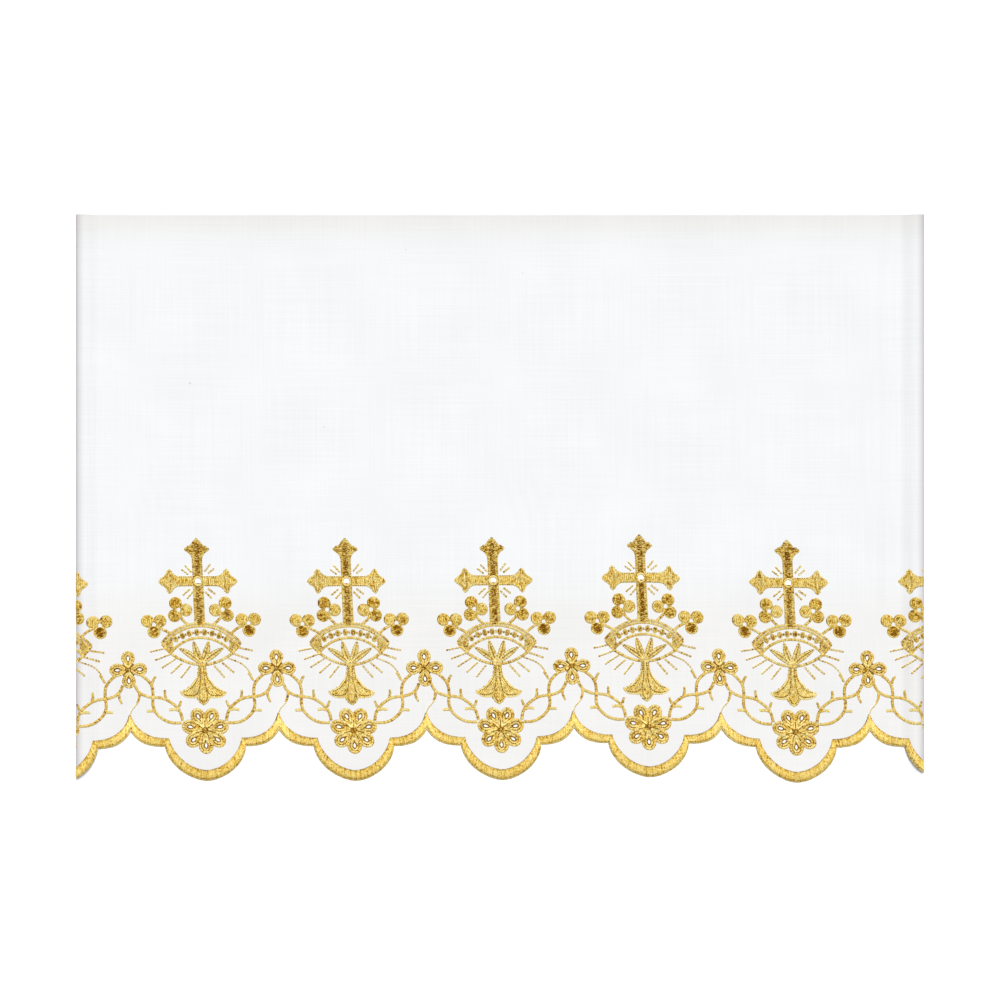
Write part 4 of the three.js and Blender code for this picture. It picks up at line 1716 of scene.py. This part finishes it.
@dataclass(frozen=True)
class Eye:
    """The eye-shaped arch: a lid of two lines and a row of dark blocks, and a narrow lower lid."""

    half: float = 35.2
    base: float = 124.2
    rise: float = 17.5
    line_width: float = 2.1
    second_gap: float = 2.6
    second_inset: float = 1.9
    inner_half: float = 27.4
    inner_base: float = 115.4
    inner_rise: float = 13.3
    corner_filling: tuple[Pair, ...] = (
        (25.6, 128.4), (29.6, 126.2), (33.6, 122.6), (30.6, 118.2), (27.8, 115.8), (24.8, 119.6),
    )
    corner_line: tuple[Pair, ...] = ((35.2, 124.2), (31.8, 119.6), (27.4, 115.2))
    corner_degrees: float = -35.0
    tip_points: int = 8
    row_radius: float = 45.9
    row_top: float = 133.6
    block_places: tuple[float, ...] = (3.5, 10.2, 16.5, 22.7, 29.0)
    block_tones: tuple[float, ...] = (0.26, 0.28, 0.30, 0.38, 0.46)
    block_half: Pair = (1.8, 2.5)
    block_frame: float = 1.26
    block_heart: Pair = (0.88, 0.92)
    dot_places: tuple[float, ...] = (0.1, 6.9, 13.4, 19.6, 25.9)
    dot_half: Pair = (0.85, 1.36)
    lower_half: float = 27.8
    lower_base: float = 115.0
    lower_bow: float = 10.6
    lower_width: float = 2.4
    lid: Thread = Thread(tone=0.62, crown=0.4, slant=0.3, uneven=0.15, padded=False)
    tip: Thread = Thread(tone=0.36, crown=0.4, base=0.25, uneven=0.2, padded=False)
    loose: Thread = Thread(tone=0.64, crown=0.25, pitch=0.45, uneven=0.32, padded=False)
    lower: Thread = Thread(tone=0.62, crown=0.45, slant=0.4, uneven=0.28)
    block: Thread = Thread(tone=0.74, crown=0.25, uneven=0.12, padded=False)
    dot: Thread = Thread(tone=0.20, crown=0.2, uneven=0.2, overrun=0.1, padded=False)

    def ring(self, inward: float, reach: float, steps: int = 80) -> np.ndarray:
        """An arc inside the outer line, as far as some place along it."""
        outer = (self.half**2 + self.rise**2) / (2 * self.rise)
        radius = outer - inward
        angle = np.linspace(-math.asin(reach / radius), math.asin(reach / radius), steps + 1)
        centre = self.base + self.rise - outer
        return np.column_stack([radius * np.sin(angle), centre + radius * np.cos(angle)])

    def row(self, along: float) -> tuple[np.ndarray, float]:
        """A place on the row of blocks, and the row's slope there in degrees."""
        angle = math.asin(along / self.row_radius)
        up = self.row_top - self.row_radius + self.row_radius * math.cos(angle)
        return np.array([along, up]), -math.degrees(angle)

    def sew(self, work: Needlework) -> None:
        """Sews both lids."""
        outer = self.ring(0.0, self.half)
        inner = arc_over(self.inner_half, self.inner_base, self.inner_rise, 70)
        work.line(outer, self.line_width, self.lid)
        work.line(self.ring(self.second_gap, self.half - self.second_inset), self.line_width, self.lid)
        work.line(inner, self.line_width + 0.2, self.lid)
        for side in Side:
            filling = rows(self.corner_filling) * side.flip
            work.fill(filling, side.value * self.corner_degrees, self.loose, longest=1.5)
            self.sew_blocks(work, side)
            corner = smooth_route(self.corner_line, 14) * side.flip
            work.line(corner, self.line_width + 0.5, self.lid)
            end = outer[: self.tip_points] if side is Side.LEFT else outer[-self.tip_points :]
            work.line(end, self.line_width - 0.2, self.tip)
        ends = ((-self.lower_half, self.lower_base), (self.lower_half, self.lower_base))
        work.line(bowed(*ends, self.lower_bow, 60), self.lower_width, self.lower)

    def sew_blocks(self, work: Needlework, side: Side) -> None:
        """Sews one half of the row of blocks: each a light oval with a dark heart, and dots between."""
        oval = disc((0.0, 0.0), 1.0, 14) * np.array(self.block_half)
        for along, tone in zip(self.block_places, self.block_tones):
            place, slope = self.row(side.value * along)
            work.fill(turned(oval * self.block_frame, slope, place), slope, self.block, longest=4.4)
            heart = Thread(tone=tone, crown=0.2, base=0.58, uneven=0.2, overrun=0.0, padded=False)
            inner = turned(oval * np.array(self.block_heart), slope, place)
            work.fill(inner, slope + 90, heart, longest=2.2)
        dot = disc((0.0, 0.0), 1.0, 8) * np.array(self.dot_half)
        for along in self.dot_places:
            place, slope = self.row(side.value * along)
            work.fill(turned(dot, slope, place), slope + 90, self.dot, longest=3.0)


@dataclass(frozen=True)
class Leaf:
    """One leaf inside the eye: two light satin halves, a dark vein and a brown line on one edge."""

    tip: Pair
    lean: float
    base: Pair = (0.0, 105.2)
    width: float = 6.0
    start: float = 0.04
    fullness: Pair = (0.9, 0.75)
    line_place: float = 0.86
    satin: Thread = Thread(
        tone=0.86, crown=0.4, slant=0.9, uneven=0.22, end_shade=0.0, start_shade=0.16
    )
    line: Thread = marking(0.08, 0.66, crown=0.12)

    def sew(self, work: Needlework) -> None:
        """Sews the leaf."""
        start, end = np.array(self.base), np.array(self.tip)
        reach = float(np.linalg.norm(end - start))
        turn = math.degrees(math.atan2(*(end - start)[::-1]))
        share = np.linspace(self.start, 1, 26)
        early, blunt = self.fullness
        half = self.width / 2 * np.sin(np.pi * share**early) ** blunt
        spine = self.lean * np.sin(np.pi * share)

        def beside(offset: np.ndarray | float) -> np.ndarray:
            """A line along the leaf, some way to the left of its spine."""
            return turned(np.column_stack([share * reach, spine + offset]), turn, self.base)

        for sign in (-1.0, 1.0):
            work.satin(beside(0.0), beside(sign * half), self.satin)
            inner_edge = beside(sign * self.line_place * half)[3:-1]
            work.dashes(inner_edge, Dashes(self.line, 1.4, 0.8, 0.5))
        work.dashes(beside(0.0)[5:-1], Dashes(self.line, 2.0, 0.4, 0.75))


LEAVES = (
    Leaf((-20.4, 119.9), -0.8),
    Leaf((-6.9, 126.4), 0.9),
    Leaf((6.9, 126.4), -0.9),
    Leaf((20.4, 119.9), 0.8),
)
FOOT_TOP_EDGE = (
    (3.4, 103.5), (3.8, 99.0), (4.5, 95.0), (5.9, 92.2), (8.4, 88.9), (12.1, 84.6), (16.8, 81.6),
    (20.5, 80.2),
)
FOOT_UNDER_EDGE = (
    (20.5, 79.4), (19.4, 77.6), (16.0, 75.2), (11.0, 74.3), (6.8, 74.5), (4.4, 76.4),
)
FOOT_INNER_EDGE = ((3.6, 80.0), (2.2, 85.0), (1.5, 91.0), (1.3, 97.0), (1.2, 104.5))
FOOT_SHOULDER_SEAM = (
    (2.9, 103.6), (3.0, 98.0), (4.2, 92.6), (6.2, 88.8), (9.6, 84.6), (13.6, 81.8), (17.4, 80.6),
)
FOOT_UNDER_SEAM = (
    (17.2, 77.6), (13.0, 76.6), (8.0, 77.2), (5.0, 79.2), (3.2, 83.4), (2.0, 89.2), (1.7, 97.6),
    (1.4, 103.6),
)
FOOT_TIP = ((3.5, 80.5), (5.3, 76.2), (5.6, 73.6), (3.2, 70.0), (0.3, 67.9))
FOOT_TIP_SEAM = ((3.0, 81.5), (3.8, 77.4), (3.5, 74.4), (1.8, 71.6), (0.2, 70.6))
FOOT_STEM = ((1.2, 104.5), (1.4, 97.0), (1.6, 91.0), (2.3, 85.0))


@dataclass(frozen=True)
class Foot:
    """The three-lobed foot under the eye: light lobes with a brown seam inside each edge."""

    light: Thread = Thread(tone=0.73, crown=0.45, uneven=0.18)
    middle: Thread = Thread(tone=0.62, crown=0.45, uneven=0.2)
    seam: Thread = marking(0.02, 0.82)
    rim: Thread = Thread(tone=0.82, crown=0.3, base=0.2, slant=0.3, padded=False)
    rim_width: float = 1.0
    top_inset: Pair = (-0.5, -0.4)
    under_inset: float = 0.6
    lean: float = 35.0

    def sew(self, work: Needlework) -> None:
        """Sews the lobes and their seams."""
        for side in Side:
            edge = rows(FOOT_TOP_EDGE + FOOT_UNDER_EDGE + FOOT_INNER_EDGE)
            work.fill(edge * side.flip, 90 + side.value * self.lean, self.light, longest=2.6)
            for route, width in (
                (FOOT_SHOULDER_SEAM, 0.85), (FOOT_UNDER_SEAM, 1.0), (FOOT_TIP_SEAM, 0.9),
            ):
                work.dashes(smooth_route(route, 30) * side.flip, Dashes(self.seam, 1.6, 0.3, width))
            top = (smooth_route(FOOT_TOP_EDGE, 40) + np.array(self.top_inset)) * side.flip
            work.line(top, self.rim_width, self.rim)
            under = smooth_route(FOOT_UNDER_EDGE, 24) * side.flip + np.array([0.0, self.under_inset])
            work.line(under, self.rim_width, self.rim)
        half = rows(FOOT_STEM + FOOT_TIP)
        work.fill(np.vstack([half, mirrored(half)[::-1]]), 90.0, self.middle, longest=2.2)


CROSS_END = (
    (18.6, 4.5), (15.8, 5.3), (13.4, 6.9), (11.8, 9.2), (10.6, 10.8), (9.3, 11.2), (8.1, 10.1),
    (7.2, 8.0), (6.4, 6.1), (4.8, 4.6), (2.6, 3.2), (1.0, 1.6), (0.0, 0.0),
)
END_ARCH = ((11.6, -3.8), (10.9, 0.0), (11.6, 3.8))
END_HORN = ((11.4, 4.0), (10.2, 7.0), (9.6, 10.2))
END_CHEEK = ((8.6, 8.0), (7.6, 4.6), (3.6, 2.0))


@dataclass(frozen=True)
class Cross:
    """The cross: light arms with horned ends, and a dark sparkling middle down its upright."""

    centre: Pair = CROSS_CENTRE
    arm_reach: float = 35.5
    arm_start: float = 4.4
    top_reach: float = 38.4
    arm_half: float = 4.4
    bar_half: float = 4.8
    foot: float = -39.5
    dark_half: float = 2.1
    dark_inset: float = 6.0
    dark_point: float = 2.4
    ring_radius: float = 3.8
    ring_width: float = 1.8
    rim_radius: float = 5.05
    edge_start: Pair = (6.0, 0.5)
    edge_end: Pair = (17.5, 0.4)
    arm: Thread = Thread(tone=0.64, crown=0.5, uneven=0.18)
    upright: Thread = Thread(tone=0.70, crown=0.45, uneven=0.22)
    dark: Thread = Thread(tone=0.31, crown=0.3, base=0.34, uneven=0.36)
    ring: Thread = Thread(tone=0.72, crown=0.5, base=0.45, pitch=0.46)
    seam: Thread = marking(0.08, 0.80, uneven=0.12)
    dots: Dashes = Dashes(marking(0.12, 0.70, uneven=0.12), 0.9, 1.1, 0.9)
    rim: Dashes = Dashes(marking(0.08, 0.7), 1.1, 0.6, 0.8)

    @staticmethod
    def limb(start: float, reach: float, half: float) -> np.ndarray:
        """A limb's outline, clockwise, with the limb along X.

        Args:
            start: where it starts.
            reach: how far its horned end reaches.
            half: half its width at the start.

        Returns:
            Rows of (x, y).
        """
        upper = [(reach - inset, side) for inset, side in CROSS_END]
        lower = [(reach - inset, -side) for inset, side in CROSS_END[-2::-1]]
        return rows([(start, half), *upper, *lower, (start, -half)])

    def sew_end(self, work: Needlework, turn: float, reach: float) -> None:
        """Sews the brown seams and dotted edges of one end.

        Args:
            work: where it is sewn.
            turn: the arm's direction in degrees.
            reach: how far its tip lies from the centre.
        """

        def seam(insets: Iterable[Pair], steps: int, flip: Row = (1.0, 1.0)) -> np.ndarray:
            """A seam through places given as (inset from the tip, side)."""
            route = smooth_route([(reach - inset, side) for inset, side in insets], steps)
            return turned(route * np.array(flip), turn, self.centre)

        work.dashes(seam(END_ARCH, 14), Dashes(self.seam, 1.2, 0.5, 1.0))
        for flip in ((1.0, -1.0), (1.0, 1.0)):
            work.dashes(seam(END_HORN, 10, flip), Dashes(self.seam, 1.1, 0.6, 1.0))
            work.dashes(seam(END_CHEEK, 12, flip), Dashes(self.seam, 1.0, 0.8, 1.0))
            (near, near_inset), (far, far_inset) = self.edge_start, self.edge_end
            edge = rows([(near, self.arm_half - near_inset), (reach - far, self.arm_half - far_inset)])
            work.dashes(turned(evenly(edge * np.array(flip), 20), turn, self.centre), self.dots)

    def sew(self, work: Needlework) -> None:
        """Sews the whole cross."""
        for turn in (0.0, 180.0):
            arm = self.limb(self.arm_start, self.arm_reach, self.arm_half)
            work.fill(turned(arm, turn, self.centre), turn + 90, self.arm, longest=2.6)
            self.sew_end(work, turn, self.arm_reach)
        bar = turned(self.limb(self.foot, self.top_reach, self.bar_half), 90.0, self.centre)
        eyelet = disc(self.centre, CROSS_EYELET_RADIUS + 0.2, 20)
        work.fill([bar, eyelet], 0.0, self.upright, longest=2.2)
        self.sew_end(work, 90.0, self.top_reach)
        for low, high in (
            (self.foot, -self.arm_start), (self.arm_start, self.top_reach - self.dark_inset),
        ):
            half, point = self.dark_half, high + self.dark_point
            stripe = rows([(-half, low), (half, low), (half, high), (0.0, point), (-half, high)])
            work.fill(stripe + np.array(self.centre), 0.0, self.dark, longest=1.5)
        work.line(closed(disc(self.centre, self.ring_radius, 41)), self.ring_width, self.ring)
        work.dashes(closed(disc(self.centre, self.rim_radius, 40)), self.rim)


EYE_RAYS = (
    ((-31.5, 119.9), (-46.3, 117.0)),
    ((-27.4, 114.6), (-42.1, 109.3)),
    ((-23.3, 110.3), (-36.5, 102.1)),
    ((-17.8, 106.2), (-28.6, 96.9)),
    ((-10.6, 103.6), (-19.8, 92.6)),
)
TENDRIL_RAY = 2
TENDRIL = ((23.3, 110.3), (30.5, 107.6), (36.0, 104.8), (41.0, 99.5), (44.0, 93.5), (45.6, 89.6))
TENDRIL_END = ((40.9, 97.6), (42.8, 94.6), (45.0, 90.6))
CROSS_RAYS = (
    ((6.4, 8.4), (12.2, 15.4)),
    ((9.2, 6.7), (15.4, 11.4)),
    ((-5.2, 8.0), (-11.0, 14.6)),
    ((-8.2, 6.2), (-14.2, 11.0)),
    ((-7.6, -6.8), (-14.4, -12.6)),
    ((-4.6, -9.0), (-10.8, -15.8)),
    ((8.4, -6.8), (15.2, -12.0)),
    ((5.6, -9.4), (11.6, -15.6)),
)


@dataclass(frozen=True)
class Rays:
    """Running-stitch rays around the eye and between the cross's arms."""

    thread: Thread = Thread(tone=0.60, crown=0.15, base=0.12, overrun=0.0, padded=False)
    joint: Thread = Thread(tone=0.62, crown=0.4, pitch=0.46, slant=0.5, padded=False)
    dash: float = 2.6
    gap: float = 0.12
    width: float = 1.95
    tendril_gap: float = 0.15
    tendril_width: float = 1.5

    def sew(self, work: Needlework) -> None:
        """Sews the rays; the third on the right runs on as a tendril to the next sprig."""
        stitch = Dashes(self.thread, self.dash, self.gap, self.width)
        for number, ends in enumerate(EYE_RAYS):
            ray = evenly(rows(ends), 6)
            work.dashes(ray, stitch)
            if number != TENDRIL_RAY:
                work.dashes(mirrored(ray), stitch)
        tendril = Dashes(self.thread, self.dash, self.tendril_gap, self.tendril_width)
        work.dashes(smooth_route(TENDRIL, 30), tendril)
        work.line(smooth_route(TENDRIL_END, 10), self.width, self.joint)
        for ends in CROSS_RAYS:
            work.dashes(evenly(rows(ends) + np.array(CROSS_CENTRE), 6), stitch)


MOTIF_PARTS = (Rays(), *TREFOILS, Eye(), *LEAVES)


class CrossMotif(SewnPiece):
    """One whole motif: cross, eye, leaves, foot, trefoils and rays."""

    def __init__(self, repeat: int) -> None:
        """Names the motif of one repeat."""
        self.name = f"cross_work_{repeat}"
        self.nodes = (f"cross_motif_{repeat}",)
        self.repeat = repeat
        self.seed = 300 + repeat

    def sew(self, work: Needlework) -> None:
        """Sews every part of the motif."""
        for part in (*MOTIF_PARTS, Foot(), Cross()):
            part.sew(work)


class CutMotif(SewnPiece):
    """What the fold leaves of one more motif at a side of the cloth, clipped there."""

    def __init__(self, side: Side, repeat: int) -> None:
        """Names the piece.

        Args:
            side: the side of the cloth.
            repeat: the repeat that is cut through there.
        """
        name = side.name.lower()
        self.name = f"{name}_cut_work"
        self.nodes = tuple(f"{name}_cut_{part}" for part in ("cross_arm", "trefoil", "eye"))
        self.repeat = repeat
        self.seed = 400 + repeat

    def sew(self, work: Needlework) -> None:
        """Sews the parts that reach the side."""
        for part in (*MOTIF_PARTS, Cross(), PetalRing(SCALLOP_FLOWER)):
            part.sew(work)


@dataclass
class Studio:
    """Floor, soft light and the camera straight above the cloth."""

    floor_size: float = 60.0
    across: float = 0.9
    lens: float = 85.0
    sensor: float = 36.0
    aim_y: float = -1.15
    sun_place: tuple[float, float, float] = (0.3, 0.9, 3.0)
    sun_tilt: Pair = (-18.0, 4.0)
    sun_softness: float = 28.0
    sun_strength: float = 3.0
    ambient: float = 0.27

    def build(self) -> None:
        """Sets everything up."""
        self.floor()
        self.lights()
        self.camera()

    def floor(self) -> None:
        """Lays the floor."""
        select_only(None)
        bpy.ops.mesh.primitive_plane_add(size=self.floor_size, location=(0.0, 0.0, 0.0))
        floor = bpy.context.active_object
        floor.name = "floor"
        floor.data.materials.append(StudioFloor().material())

    def lights(self) -> None:
        """Hangs one soft light high over the cloth, a little towards its top edge, in a pale room."""
        tilt = tuple(math.radians(angle) for angle in (*self.sun_tilt, 0.0))
        bpy.ops.object.light_add(type="SUN", location=self.sun_place, rotation=tilt)
        lamp = bpy.context.active_object
        lamp.data.angle = math.radians(self.sun_softness)
        lamp.data.energy = self.sun_strength
        world = bpy.data.worlds.new("studio_air")
        bpy.context.scene.world = world
        world.use_nodes = True
        background = world.node_tree.nodes["Background"]
        background.inputs["Color"].default_value = (1.0, 1.0, 1.0, 1.0)
        background.inputs["Strength"].default_value = self.ambient
        bpy.context.scene.view_settings.view_transform = "Standard"

    def camera(self) -> None:
        """Sets the camera straight above, the photograph's width across the frame."""
        height = self.across * self.lens / self.sensor
        bpy.ops.object.camera_add(location=(0.0, self.aim_y * MM, height), rotation=(0.0, 0.0, 0.0))
        camera = bpy.context.active_object
        camera.data.lens = self.lens
        camera.data.sensor_width = self.sensor
        bpy.context.scene.camera = camera


def embroidery(last_repeat: int) -> Iterable[SewnPiece]:
    """Every sewn piece in order; the repeats at both ends are cut through."""
    yield ScallopedBorder()
    for repeat in WHOLE_REPEATS:
        yield CrossMotif(repeat)
        yield FlowerPiece(repeat)
    for place in SPRIG_PLACES:
        yield Sprig(place)
    yield CutMotif(Side.LEFT, 0)
    yield CutMotif(Side.RIGHT, last_repeat)


def main() -> None:
    """Builds the cloth, its embroidery and the studio."""
    cloth = ClothSheet()
    stitches = StitchBox()
    gold = GoldThread().material()
    sheet = cloth.build()
    seat(sheet, Slot.CLOTH, WovenCloth().material(), ["cloth"])
    last_repeat = len(cloth.border.repeats) - 1
    sewn = [piece.build(cloth, stitches, gold) for piece in embroidery(last_repeat)]
    Studio().build()


if __name__ == "__main__":
    main()
